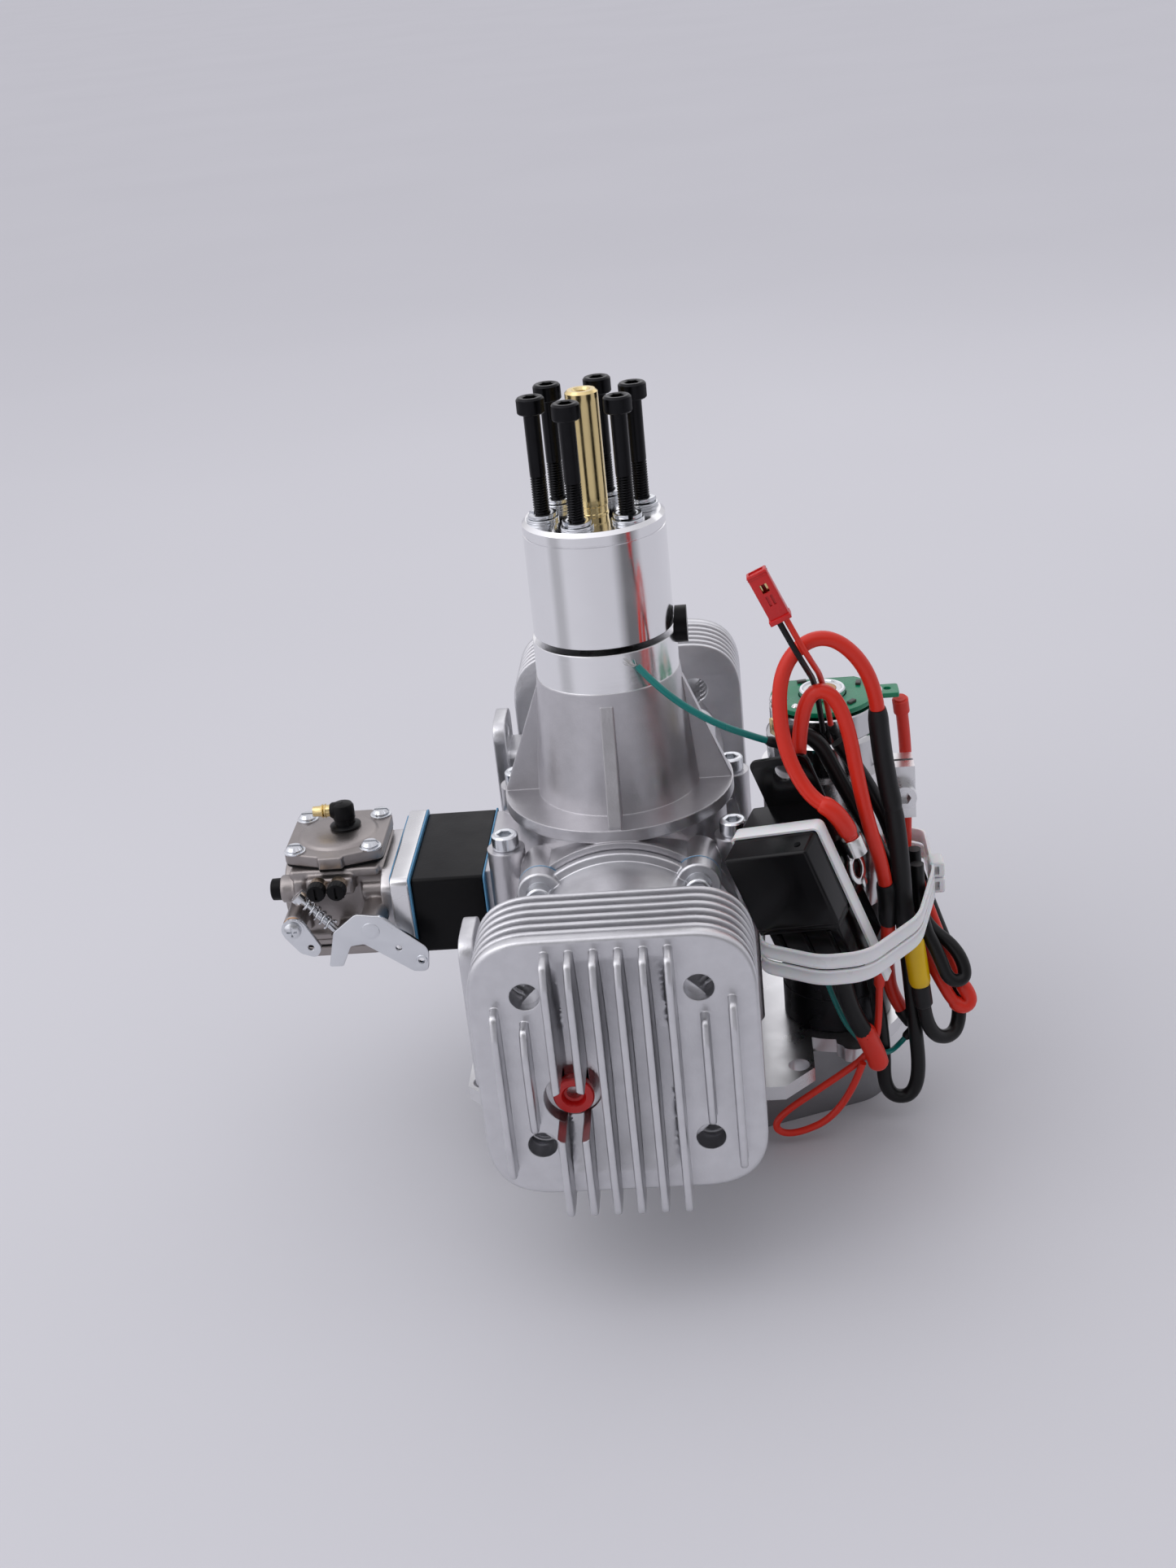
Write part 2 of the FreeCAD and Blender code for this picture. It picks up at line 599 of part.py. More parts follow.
def intake_gaskets():
    """Three thin gaskets: at the boss, at the adapter and at the carburettor."""
    sizes = ((25.6, 13.8, 10.5), (26.6, 14.4, 10.5), (21.6, 13.6, 10.5))
    sheets = []
    for near, (half_y, half_z, hole) in zip(GASKET_XS, sizes):
        sheets.append(intake_slab(near, INTAKE_GASKET, half_y, half_z, 0, hole))
    return Part.makeCompound(sheets)


def carb_adapter():
    return intake_slab(ADAPTER_X, ADAPTER_DEPTH, 27.0, 14.5, 2.0, 10.5)


def lever_boss(x, radius, face):
    return rod(radius, -face - 10.0, (x, face, INTAKE_Z), (0, 1, 0))


IDLE_HEAD = Vector(-104.5, -22.5, 72.0)
IDLE_AXIS = Vector(0.63, 0.0, -0.776)
THROTTLE_BOSS_Y = THROTTLE_LEVER_Y + LEVER_THICK / 2 + 0.3
CHOKE_BOSS_Y = CHOKE_LEVER_Y + LEVER_THICK / 2 + 0.3


def carb_body():
    flange_x = CARB_X - CARB_FLANGE
    core = block((-109.0, flange_x), (-CARB_HALF_Y, CARB_HALF_Y), (CARB_BOTTOM, CARB_TOP))
    core = rounded(core, 3.0, (0, 0, 1))
    flange = block((flange_x, CARB_X), (-21.0, 21.0), (INTAKE_Z - 13.0, INTAKE_Z + 13.0))
    inlet = rod(11.5, 8.0, (CARB_LEFT, 0, INTAKE_Z), (1, 0, 0))
    needle_block = block((-103.0, -87.0), (-20.5, -15.0), (71.5, CARB_TOP))
    side_port = rod(4.6, 8.5, (CARB_LEFT, -12.0, 71.0), (1, 0, 0))
    idle_end = IDLE_HEAD + IDLE_AXIS * 15.0
    idle_boss = Part.makeCylinder(2.8, 5.0, idle_end, IDLE_AXIS)
    idle_web = block((-94.5, -90.0), (-22.5, -16.0), (55.0, 60.0))
    solids = [core, rounded(flange, 2.0, (1, 0, 0)), inlet, needle_block, side_port, idle_boss, idle_web]
    solids += [lever_boss(THROTTLE_X, 4.4, THROTTLE_BOSS_Y), lever_boss(CHOKE_X, 3.6, CHOKE_BOSS_Y)]
    solids.append(rod(3.5, 6.0, (flange_x - 6.0, -13.5, 70.0), (1, 0, 0)))
    cuts = [
        rod(VENTURI_R, 50.0, (CARB_LEFT - 1, 0, INTAKE_Z), (1, 0, 0)),
        rod(2.0 + RUNNING, 60.0, (THROTTLE_X, -40.0, INTAKE_Z), (0, 1, 0)),
        rod(2.0 + RUNNING, 60.0, (CHOKE_X, -40.0, INTAKE_Z), (0, 1, 0)),
        Part.makeCylinder(1.25 + RUNNING, 30.0, IDLE_HEAD, IDLE_AXIS),
    ]
    for x in NEEDLE_XS.values():
        cuts.append(rod(1.5 + RUNNING, 14.0, (x, -21.0, NEEDLE_Z), (0, 1, 0)))
    return fused(solids).cut(cuts)


def pump_cover():
    """The round pump cover on top with its screw ears, and the metering cover below."""
    centre_x = -94.5
    low = CARB_TOP + 0.8
    disc = rod(16.2, 5.2, (centre_x, 1.0, low))
    ears = []
    for x, y in cover_screw_points():
        ears.append(rod(4.0, 5.2, (x, y, low)))
    tab = block((centre_x - 3.5, centre_x + 3.5), (-17.5, -12.0), (low, CARB_TOP + 5.0))
    spacer = block((-109.0, -79.8), (-15.5, 16.5), (CARB_TOP, CARB_TOP + 1.0))
    cover = fused([disc, tab, spacer] + ears)
    cover = cover.cut([rod(1.5, 6.0, (x, y, CARB_TOP)) for x, y in cover_screw_points()])
    lower = rounded(block((-109.0, -81.0), (-16.0, 16.0), (CARB_BOTTOM - 6.0, CARB_BOTTOM)), 4.0, (0, 0, 1))
    return Part.makeCompound([cover, lower])


def cover_screw_points():
    return [(-94.5 + sx * 12.5, 1.0 + sy * 12.0) for sx in (-1, 1) for sy in (-1, 1)]


def carb_screws():
    """Pan-head cover screws."""
    screws = []
    for x, y in cover_screw_points():
        head = rod(2.9, 2.0, (x, y, CARB_TOP + 6.0))
        shank = rod(1.5, 6.0, (x, y, CARB_TOP))
        slot = block((x - 3, x + 3), (y - 0.4, y + 0.4), (CARB_TOP + 7.1, CARB_TOP + 8.1))
        screws.append(head.fuse(shank).cut(slot))
    return Part.makeCompound(screws)


ELBOW = (-92.5, 4.0, CARB_TOP + 6.0)


def fuel_elbow():
    """The black fuel elbow on the cover and the black plug on the air-inlet side."""
    x, y, z = ELBOW
    stem = rod(3.6, 8.6, ELBOW)
    collar = rod(5.2, 1.4, ELBOW)
    plug = rod(3.7, 3.5, (CARB_LEFT - 3.5, -12.0, 71.0), (1, 0, 0))
    elbow = fused([stem, collar]).cut(rod(2.0, 3.8, (x - 3.8, y, z + 5.8), (1, 0, 0)))
    return Part.makeCompound([elbow, plug])


def fuel_nipple():
    x, y, z = ELBOW
    pipe = rod(2.0, 10.0, (x - 10.0, y, z + 5.8), (1, 0, 0))
    barb = rod(2.4, 1.5, (x - 9.5, y, z + 5.8), (1, 0, 0))
    return pipe.fuse(barb).cut(rod(1.0, 10.0, (x - 10.0, y, z + 5.8), (1, 0, 0)))


def lever_arm(ends, y):
    """A flat link between two round ends (x, z, radius)."""
    (x0, z0, r0), (x1, z1, r1) = ends
    low = y - LEVER_THICK / 2
    length = math.hypot(x1 - x0, z1 - z0)
    nx, nz = (z1 - z0) / length, -(x1 - x0) / length
    bar = prism_xz([(x0 + nx * r0, z0 + nz * r0), (x1 + nx * r1, z1 + nz * r1),
                    (x1 - nx * r1, z1 - nz * r1), (x0 - nx * r0, z0 - nz * r0)], low, low + LEVER_THICK)
    discs = [rod(r, LEVER_THICK, (x, low, z), (0, 1, 0)) for x, z, r in ends]
    return [bar] + discs


THROTTLE_HOLES = ((-73.2, 57.8), (-66.4, 52.9))


def throttle_lever():
    """The bell crank on the throttle shaft, with the shaft and its butterfly."""
    y = THROTTLE_LEVER_Y
    pivot = (THROTTLE_X, INTAKE_Z, 5.6)
    elbow = (-91.4, 62.6, 2.6)
    plate = fused(lever_arm((pivot, (THROTTLE_HOLES[1][0], THROTTLE_HOLES[1][1], 3.7)), y)
                  + lever_arm((pivot, elbow), y) + lever_arm((elbow, (-94.2, 54.5, 2.4)), y))
    low = y - LEVER_THICK / 2 - 1
    holes = [rod(1.0, LEVER_THICK + 2, (x, low, z), (0, 1, 0)) for x, z in THROTTLE_HOLES]
    shaft = rod(2.0, 48.0, (THROTTLE_X, y - 1.6, INTAKE_Z), (0, 1, 0))
    disc = rod(VENTURI_R - 0.1, 1.0, (THROTTLE_X - 0.5, 0, INTAKE_Z), (1, 0, 0))
    return Part.makeCompound([plate.cut(holes + [shaft]), shaft.fuse(disc)])


CHOKE_HOLE = (-102.6, 57.6)


def choke_lever():
    y = CHOKE_LEVER_Y
    plate = fused(lever_arm(((CHOKE_X, INTAKE_Z, 3.9), (CHOKE_HOLE[0], CHOKE_HOLE[1], 3.2)), y))
    hole = rod(1.0, LEVER_THICK + 2, (CHOKE_HOLE[0], y - LEVER_THICK / 2 - 1, CHOKE_HOLE[1]), (0, 1, 0))
    shaft = rod(2.0, 44.0, (CHOKE_X, y - 0.8, INTAKE_Z), (0, 1, 0))
    head = rod(2.9, 1.8, (CHOKE_X, y - 0.8 - 1.8, INTAKE_Z), (0, 1, 0))
    disc = rod(VENTURI_R - 0.1, 1.0, (CHOKE_X - 0.5, 0, INTAKE_Z), (1, 0, 0))
    shaft = fused([shaft, disc, head])
    return Part.makeCompound([plate.cut([hole, rod(2.0, 10.0, (CHOKE_X, y - 5, INTAKE_Z), (0, 1, 0))]), shaft])


def needle(x):
    shank = rod(1.5, 12.0, (x, -20.8, NEEDLE_Z), (0, 1, 0))
    sleeve = rod(2.7, 3.0, (x, -23.6, NEEDLE_Z), (0, 1, 0))
    cap = rod(3.1, 3.6, (x, -27.2, NEEDLE_Z), (0, 1, 0))
    slot = block((x - 0.4, x + 0.4), (-27.3, -26.4), (NEEDLE_Z - 2.2, NEEDLE_Z + 2.2))
    return fused([shank, sleeve, cap]).cut(slot)


def idle_screw():
    head = Part.makeCylinder(2.6, 2.2, IDLE_HEAD - IDLE_AXIS * 2.2, IDLE_AXIS)
    shank = Part.makeCylinder(1.25, 21.5, IDLE_HEAD, IDLE_AXIS)
    slot = block((-3, 3), (-0.4, 0.4), (-2.4, -1.4))
    slot.Placement = FreeCAD.Placement(IDLE_HEAD, FreeCAD.Rotation(CRANK_AXIS, IDLE_AXIS))
    return head.fuse(shank).cut(slot)


def idle_spring():
    """The spring that keeps the idle screw from turning by itself."""
    pitch = 2.3
    height = 12.6
    helix = Part.makeHelix(pitch, height, 2.0)
    profile = Part.Wire(Part.makeCircle(0.42, Vector(2.0, 0, 0), Vector(0, 1, 0)))
    coil = Part.Wire(helix.Edges).makePipeShell([profile], True, True)
    coil.Placement = FreeCAD.Placement(IDLE_HEAD + IDLE_AXIS * 0.55, FreeCAD.Rotation(CRANK_AXIS, IDLE_AXIS))
    return coil


# ---------- Starter ----------

def along_gear_line(distance):
    angle = math.radians(GEAR_LINE)
    return distance * math.cos(angle), distance * math.sin(angle)


IDLER_DISTANCE = GEAR_MODULE * (STARTER_TEETH + IDLER_TEETH) / 2
MOTOR_DISTANCE = IDLER_DISTANCE + GEAR_MODULE * (IDLER_TEETH + PINION_TEETH) / 2
IDLER_X, IDLER_Y = along_gear_line(IDLER_DISTANCE)
MOTOR_X, MOTOR_Y = along_gear_line(MOTOR_DISTANCE)


def involute(angle):
    return math.tan(angle) - angle


def tooth_half_angle(teeth, radius):
    """Half of the angle that a tooth covers at a radius."""
    pitch_r = GEAR_MODULE * teeth / 2
    base_r = pitch_r * math.cos(PRESSURE_ANGLE)
    at_pitch = (math.pi * GEAR_MODULE / 2 - BACKLASH) / (2 * pitch_r)
    roll = math.acos(base_r / max(radius, base_r))
    return at_pitch + involute(PRESSURE_ANGLE) - involute(roll)


def gear_blank(teeth, first_tooth, x, y):
    """A spur gear's solid, with one tooth centred on the angle first_tooth, in degrees."""
    pitch_r = GEAR_MODULE * teeth / 2
    root_r = pitch_r - DEDENDUM * GEAR_MODULE
    tip_r = pitch_r + ADDENDUM * GEAR_MODULE
    base_r = pitch_r * math.cos(PRESSURE_ANGLE)
    start = max(base_r, root_r)
    radii = [root_r] + [start + (tip_r - start) * step / 4 for step in range(5)]
    if start == root_r:
        radii = radii[1:]
    points = []
    for tooth in range(teeth):
        middle = math.radians(first_tooth) + 2 * math.pi * tooth / teeth
        flank = [(r, tooth_half_angle(teeth, r)) for r in radii]
        for r, half in flank:
            points.append((x + r * math.cos(middle - half), y + r * math.sin(middle - half), GEAR_LOW))
        for r, half in reversed(flank):
            points.append((x + r * math.cos(middle + half), y + r * math.sin(middle + half), GEAR_LOW))
    return prism(points, (0, 0, GEAR_HIGH - GEAR_LOW))


def starter_gear():
    """The crank's starter gear and the one-way bearing pressed into it."""
    wheel = gear_blank(STARTER_TEETH, GEAR_LINE, 0, 0)
    cuts = [rod(11.0, 20.0, (0, 0, -20.0))]
    for index in range(6):
        angle = math.radians(60 * index + 30)
        cuts.append(rod(4.5, 20.0, (19.5 * math.cos(angle), 19.5 * math.sin(angle), -20.0)))
    bearing = tube(11.0, STUB_R + RUNNING, GEAR_HIGH - GEAR_LOW, (0, 0, GEAR_LOW))
    return Part.makeCompound([wheel.cut(cuts), bearing])


def idler_gear():
    wheel = gear_blank(IDLER_TEETH, GEAR_LINE + 180 + 180 / IDLER_TEETH, IDLER_X, IDLER_Y)
    return wheel.cut(rod(3.0 + RUNNING, 20.0, (IDLER_X, IDLER_Y, -20.0)))


def motor_pinion():
    wheel = gear_blank(PINION_TEETH, GEAR_LINE + 180, MOTOR_X, MOTOR_Y)
    shaft = rod(MOTOR_SHAFT_R, 34.0, (MOTOR_X, MOTOR_Y, GEAR_LOW - 1))
    return fused([wheel, shaft])


def case_outline(inset, low, high):
    """The gear case's outline: a large and a small circle with tangent sides."""
    big = 35.5 - inset
    small = 16.0 - inset
    lean = math.asin((big - small) / MOTOR_DISTANCE)
    line = math.radians(GEAR_LINE)
    points = []
    for side in (1, -1):
        angle = line + side * (math.pi / 2 - lean)
        pair = [(0, 0, big), (MOTOR_X, MOTOR_Y, small)]
        ends = [(cx + r * math.cos(angle), cy + r * math.sin(angle), low) for cx, cy, r in pair]
        points += ends if side == 1 else ends[::-1]
    sides = prism(points, (0, 0, high - low))
    return fused([sides, rod(big, high - low, (0, 0, low)), rod(small, high - low, (MOTOR_X, MOTOR_Y, low))])


def gear_case():
    shell = case_outline(0, CASE_BOTTOM, 0).cut(case_outline(CASE_WALL, CASE_BOTTOM + CASE_WALL, 1))
    pin = rod(3.0, 20.0, (IDLER_X, IDLER_Y, CASE_BOTTOM + CASE_WALL))
    step = rod(5.0, 4.5, (IDLER_X, IDLER_Y, CASE_BOTTOM + CASE_WALL))
    return fused([shell, pin, step])


def starter_plate():
    """The mounting plate: it carries the crankcase, the gear case and the starter motor."""
    corner = 10.0
    outline = []
    for sx, sy in ((1, -1), (1, 1), (-1, 1), (-1, -1)):
        first = (sx * (PLATE_HALF_X - corner), sy * PLATE_HALF_Y, 0)
        second = (sx * PLATE_HALF_X, sy * (PLATE_HALF_Y - corner), 0)
        outline += [first, second] if sx * sy < 0 else [second, first]
    slab = prism(outline, (0, 0, PLATE_THICK))
    motor_pad = rod(22.0, PLATE_THICK, (MOTOR_X, MOTOR_Y, 0))
    lobes = []
    for angle in (-80, 70):
        x = MOTOR_X + 23.0 * math.cos(math.radians(angle))
        y = MOTOR_Y + 23.0 * math.sin(math.radians(angle))
        lobes.append(rod(6.0, PLATE_THICK, (x, y, 0)))
    cuts = [rod(15.0, 10, (0, 0, -1)), rod(12.0, 10, (MOTOR_X, MOTOR_Y, -1)), rod(4.5, 10, (63.0, -24.5, -1))]
    for sx in (-1, 1):
        for sy in (-1, 1):
            cuts.append(rod(PLATE_HOLE_R, 10, (sx * PLATE_HOLE_X, sy * PLATE_HOLE_Y, -1)))
    return fused([slab, motor_pad] + lobes).cut(cuts)


def starter_motor():
    """The starter motor on its reduction gearbox, shaft down."""
    gearbox = rod(MOTOR_GEARBOX_R, MOTOR_CAN_LOW - PLATE_THICK, (MOTOR_X, MOTOR_Y, PLATE_THICK))
    can = rod(MOTOR_R, MOTOR_CAN_HIGH - MOTOR_CAN_LOW, (MOTOR_X, MOTOR_Y, MOTOR_CAN_LOW))
    bell = rod(MOTOR_R - 1.5, 8.0, (MOTOR_X, MOTOR_Y, MOTOR_CAN_HIGH))
    journal = rod(4.5, 13.0, (MOTOR_X, MOTOR_Y, MOTOR_CAN_HIGH))
    notches = []
    for angle in (40, 220):
        notch = block((13.0, 20.0), (-4.0, 4.0), (MOTOR_CAN_HIGH - 8.0, MOTOR_CAN_HIGH + 5.0))
        notch.rotate(Vector(0, 0, 0), CRANK_AXIS, angle)
        notch.translate(Vector(MOTOR_X, MOTOR_Y, 0))
        notches.append(notch)
    bore = rod(MOTOR_SHAFT_R + RUNNING, 20.0, (MOTOR_X, MOTOR_Y, PLATE_THICK))
    return fused([gearbox, can, bell, journal]).cut(notches + [bore])


BOARD_Z = MOTOR_CAN_HIGH + 9.0


def motor_board():
    """The suppressor board on the motor's end, with its terminal tab."""
    board = rod(16.5, 1.6, (MOTOR_X, MOTOR_Y, BOARD_Z))
    trim = block((MOTOR_X - 20, MOTOR_X + 20), (MOTOR_Y + 12.5, MOTOR_Y + 20), (BOARD_Z - 1, BOARD_Z + 3))
    tab = block((MOTOR_X + 10, MOTOR_X + 24), (MOTOR_Y - 4, MOTOR_Y + 4), (BOARD_Z, BOARD_Z + 1.6))
    hole = rod(6.0, 5.0, (MOTOR_X, MOTOR_Y, BOARD_Z - 1))
    return board.cut(trim).fuse(tab).cut(hole).removeSplitter()


BRACKET_LOW = 80.0
BRACKET_HIGH = 98.0


def motor_bracket():
    """The split clamp round the motor can, with its screw."""
    height = BRACKET_HIGH - BRACKET_LOW
    band = tube(MOTOR_R + 2.2, MOTOR_R, height, (MOTOR_X, MOTOR_Y, BRACKET_LOW))
    ear = block((MOTOR_X + 19.0, MOTOR_X + 27.5), (-7.0, 4.0), (BRACKET_LOW, BRACKET_HIGH))
    slit = block((MOTOR_X + 15.0, MOTOR_X + 30.0), (-2.2, -0.8), (BRACKET_LOW - 1, BRACKET_HIGH + 1))
    hole_at = (MOTOR_X + 23.6, -8.0, (BRACKET_LOW + BRACKET_HIGH) / 2)
    clamp = fused([band, ear]).cut([slit, rod(2.0, 14.0, hole_at, (0, 1, 0))])
    screw = cap_screw((hole_at[0], -7.0, hole_at[2]), (0, -1, 0), 11.0, 3.9, 4.5, 2.0)
    return Part.makeCompound([clamp, screw])


# ---------- Relay, ties and leads ----------

def relay_placed(shape):
    """Turn and lean a shape made about the relay's top centre, with its depth along Y."""
    turn = FreeCAD.Rotation(RELAY_YAW, RELAY_LEAN, RELAY_TIP)
    shape.Placement = FreeCAD.Placement(Vector(*RELAY_TOP), turn)
    return shape


def relay():
    """The starter relay with its socket and its mounting tab."""
    half_w = RELAY_W / 2
    half_d = RELAY_D / 2
    body = rounded(block((-half_w, half_w), (-half_d, half_d), (-RELAY_H, 0)), 1.5, (0, 0, 1))
    socket_w = half_w - SOCKET_INSET
    socket_d = half_d - SOCKET_INSET
    socket = block((-socket_w, socket_w), (-socket_d, socket_d), (-RELAY_H - SOCKET_H, -RELAY_H))
    tab = block((-8.0, 12.0), (half_d - 1.5, half_d), (-2.0, 17.0))
    tab = rounded(tab, 3.0, (0, 1, 0)).cut(rod(2.8, 5.0, (2.0, half_d - 3.0, 11.5), (0, 1, 0)))
    return relay_placed(fused([body, socket, tab]))


TIE_THICK = 1.1
TIE_WIDTH = 4.8


# The line that the wide ties follow round the relay, the leads and the motor's gearbox.
BUNDLE_OUTLINE = ((43.0, -52.0), (60.0, -61.5), (73.5, -60.5), (91.0, -40.0), (98.5, -10.0), (98.5, 17.0),
                  (86.0, 25.0), (57.0, 24.5), (48.2, 13.0), (48.2, 0.0), (44.0, -24.0))
BUNDLE_LOWS = (52.6, 58.2)


def bundle_band(low):
    core = rounded(prism([(x, y, low) for x, y in BUNDLE_OUTLINE], (0, 0, TIE_WIDTH)), 2.0, (0, 0, 1))
    ground = [face for face in core.Faces if face.normalAt(0, 0).z < -0.99][0]
    around = ground.OuterWire.makeOffset2D(TIE_THICK)
    head = block((98.5, 102.5), (-8.0, -0.5), (low - 0.2, low + TIE_WIDTH + 0.2))
    return Part.Face(around).extrude(Vector(0, 0, TIE_WIDTH)).fuse(head).cut(core)


def zip_ties():
    """One tie over the relay and its socket with a free tail, and two round the whole bundle."""
    half_w = RELAY_W / 2
    depth = -(RELAY_H + SOCKET_H)
    front = (-3.6, -3.6 + TIE_WIDTH)
    outer = block((-half_w - TIE_THICK, half_w + TIE_THICK), front, (depth - TIE_THICK, TIE_THICK))
    hoop = rounded(outer, 1.6, (0, 1, 0)).cut(block((-half_w, half_w), (-20, 20), (depth, 0)))
    tail = block((half_w + 0.05, half_w + TIE_THICK), front, (depth - 9.0, depth))
    head = block((half_w - 4.0, half_w + 1.6), (front[0] - 1.2, front[1] + 1.2), (depth - 5.0, depth - 0.05))
    hoop = relay_placed(fused([hoop, tail, head]))
    return Part.makeCompound([hoop] + [bundle_band(low) for low in BUNDLE_LOWS])


EYE_X = RELAY_W / 2 + 1.0
EYE_Y = 7.6
EYE_Z = -23.0


def ring_terminal():
    """The ring terminal on the end of the long red lead, lying against the relay's side."""
    tongue = block((EYE_X - 0.5, EYE_X + 0.5), (EYE_Y - 2.2, EYE_Y + 2.2), (EYE_Z, EYE_Z + 6.5))
    tip = block((EYE_X - 0.5, EYE_X + 0.5), (EYE_Y - 1.2, EYE_Y + 1.8), (EYE_Z - 7.0, EYE_Z))
    ring = fused([rod(5.2, 1.0, (EYE_X - 0.5, EYE_Y, EYE_Z), (1, 0, 0)), tongue, tip])
    ring = ring.cut(rod(3.1, 3.0, (EYE_X - 1.5, EYE_Y, EYE_Z), (1, 0, 0)))
    barrel = tube(3.1, 2.5, 6.0, (EYE_X + 2.5, EYE_Y, EYE_Z + 5.5))
    return relay_placed(fused([ring, barrel]))


CONNECTOR_AT = (54.3, -44.0, 164.5)
CONNECTOR_LEAN = -24.0


def connector():
    """The two-pin connector on the end of the signal pair."""
    body = block((-3.0, 3.0), (-2.0, 2.0), (0, 16.0))
    socket = block((-2.2, 2.2), (-1.2, 1.2), (9.0, 17.0))
    latch = block((-1.5, 1.5), (-2.8, -1.9), (3.0, 11.0))
    shape = body.cut(socket).fuse(latch)
    turn = FreeCAD.Rotation(Vector(0, 1, 0), CONNECTOR_LEAN)
    shape.Placement = FreeCAD.Placement(Vector(*CONNECTOR_AT), turn)
    return shape


# Each lead: radius, then the corners of its route.
LEADS = {
    "lead_red_a": (2.3, [(88, -30, 50), (87, -30, 86), (82.5, -29, 112), (81, -32, 141), (67, -35, 157),
                         (53, -37, 148), (52, -38.5, 124), (59, -43, 107), (68.3, -46.5, 102.5),
                         (71.4, -42.9, 92.5)]),
    "lead_red_b": (2.3, [(57.5, -33, 117), (59, -34.5, 138), (71, -36, 137), (76, -37, 98), (82, -32, 74),
                         (83, -28, 54), (82.5, -17, 34), (84, -16, 18), (91, -15.5, 8)]),
    "lead_black_a": (2.4, [(52, -26, 121), (62, -26, 122), (70, -26, 103), (80, -26, 82), (89, -25, 58),
                           (92, -26.5, 34), (94.5, -27, 9.5), (105.5, -20, 5.5), (106, -12, 24), (98.8, 2, 43),
                           (93.5, 3, 60)]),
    "lead_black_b": (2.4, [(70, -20, 114), (78, -20, 101), (87, -19, 78), (88, -19, 52), (90, -22.5, 22),
                           (92.3, -23, -15), (79.5, -23, -15.5), (80.5, -23, 10), (77, -27, 36)]),
    "lead_black_c": (2.2, [(93, -20, 70), (93.3, -20.5, 50), (98.5, -25, 40), (101.5, -27, 30), (107.8, -25, 30),
                           (105, -21, 39), (95.5, -16, 45.5), (92.8, -13.5, 56), (92.8, -13.5, 72)]),
    "lead_black_d": (3.0, [(67, -37, 42), (68, -35.5, 28), (74, -35, 17)]),
    "lead_red_c": (2.0, [(91.5, 7, 116), (93.5, 12, 98), (93, 15, 72), (91.7, 9, 54), (91.3, -8, 42),
                         (98, -20, 30), (104.5, -22.5, 17), (110, -20.5, 18.5), (104.5, -19, 28),
                         (98.5, -12, 44), (93.8, -8, 60)]),
    "thin_red": (1.2, [(79.5, -29, 46), (79, -31, 24), (76.5, -32.5, 9), (62, -32, -2), (41, -33, -16),
                       (47, -34, -22), (66, -33, -14), (72.5, -35, 6.5)]),
    "signal_red": (0.9, [(55.4, -44, 164.9), (58.7, -44, 157.5), (62.5, -41, 149), (66, -27, 138), (68, -20, 120)]),
    "signal_black": (0.9, [(53.4, -44, 164.0), (56.7, -44, 156.7), (60.5, -41.5, 148), (64, -27.5, 136.5),
                           (65.6, -20, 118)]),
    "sensor_green": (1.1, [(10.6, -21.8, 144.2), (18, -26, 136.5), (32, -26.5, 126), (46, -24, 118.5),
                           (55, -22, 114.5), (61, -19, 106)]),
    "tail_green": (0.9, [(60, -27, 43), (65.5, -26, 20), (73, -28.5, 9.5), (80.5, -28.5, 4.5),
                         (87, -19.1, 4), (92.5, -19.1, 11.5)]),
}

# Two short leads are saved with a neighbour of the same colour.
SHARED_NODES = {"lead_black_d": "lead_black_c", "tail_green": "sensor_green"}


def rounded_route(points):
    """Straight runs joined by tangent arcs. Returns the wire and the smallest arc radius."""
    corners = [Vector(*point) for point in points]
    edges = []
    start = corners[0]
    smallest = math.inf
    for before, corner, after in zip(corners, corners[1:], corners[2:]):
        run_in = corner.sub(before)
        run_out = after.sub(corner)
        reach = 0.45 * min(run_in.Length, run_out.Length)
        turn = run_in.getAngle(run_out)
        radius = reach / math.tan(turn / 2) if turn > 0.001 else math.inf
        run_in.normalize()
        run_out.normalize()
        if turn <= 0.001:
            continue
        enter = corner - run_in * reach
        leave = corner + run_out * reach
        toward = (run_out - run_in).normalize()
        middle = corner + toward * (radius / math.cos(turn / 2) - radius)
        edges.append(Part.makeLine(start, enter))
        edges.append(Part.Arc(enter, middle, leave).toShape())
        start = leave
        smallest = min(smallest, radius)
    edges.append(Part.makeLine(start, corners[-1]))
    return Part.Wire(edges), smallest


def lead(radius, points):
    path, smallest = rounded_route(points)
    start = Vector(*points[0])
    along = Vector(*points[1]).sub(start)
    profile = Part.Wire(Part.makeCircle(radius, start, along))
    solid = path.makePipeShell([profile], True, False)
    return solid, path.Length, smallest


# ---------- Build ----------

os.makedirs("parts", exist_ok=True)
front_half, rear_half = crankcase_halves()
save("front_crankcase", front_half)
save("rear_crankcase", rear_half)

rod_a = con_rod_a()
pair_a = pins_a()
save("con_rod_a", rod_a)
save("con_rod_b", to_side_b(rod_a))
save("pins_a", pair_a)
save("pins_b", to_side_b(pair_a))
piston = piston_a()
save("piston_a", piston)
save("piston_b", to_side_b(piston))
casting = cylinder_a()
save("cylinder_a", casting)
save("cylinder_b", to_side_b(casting))

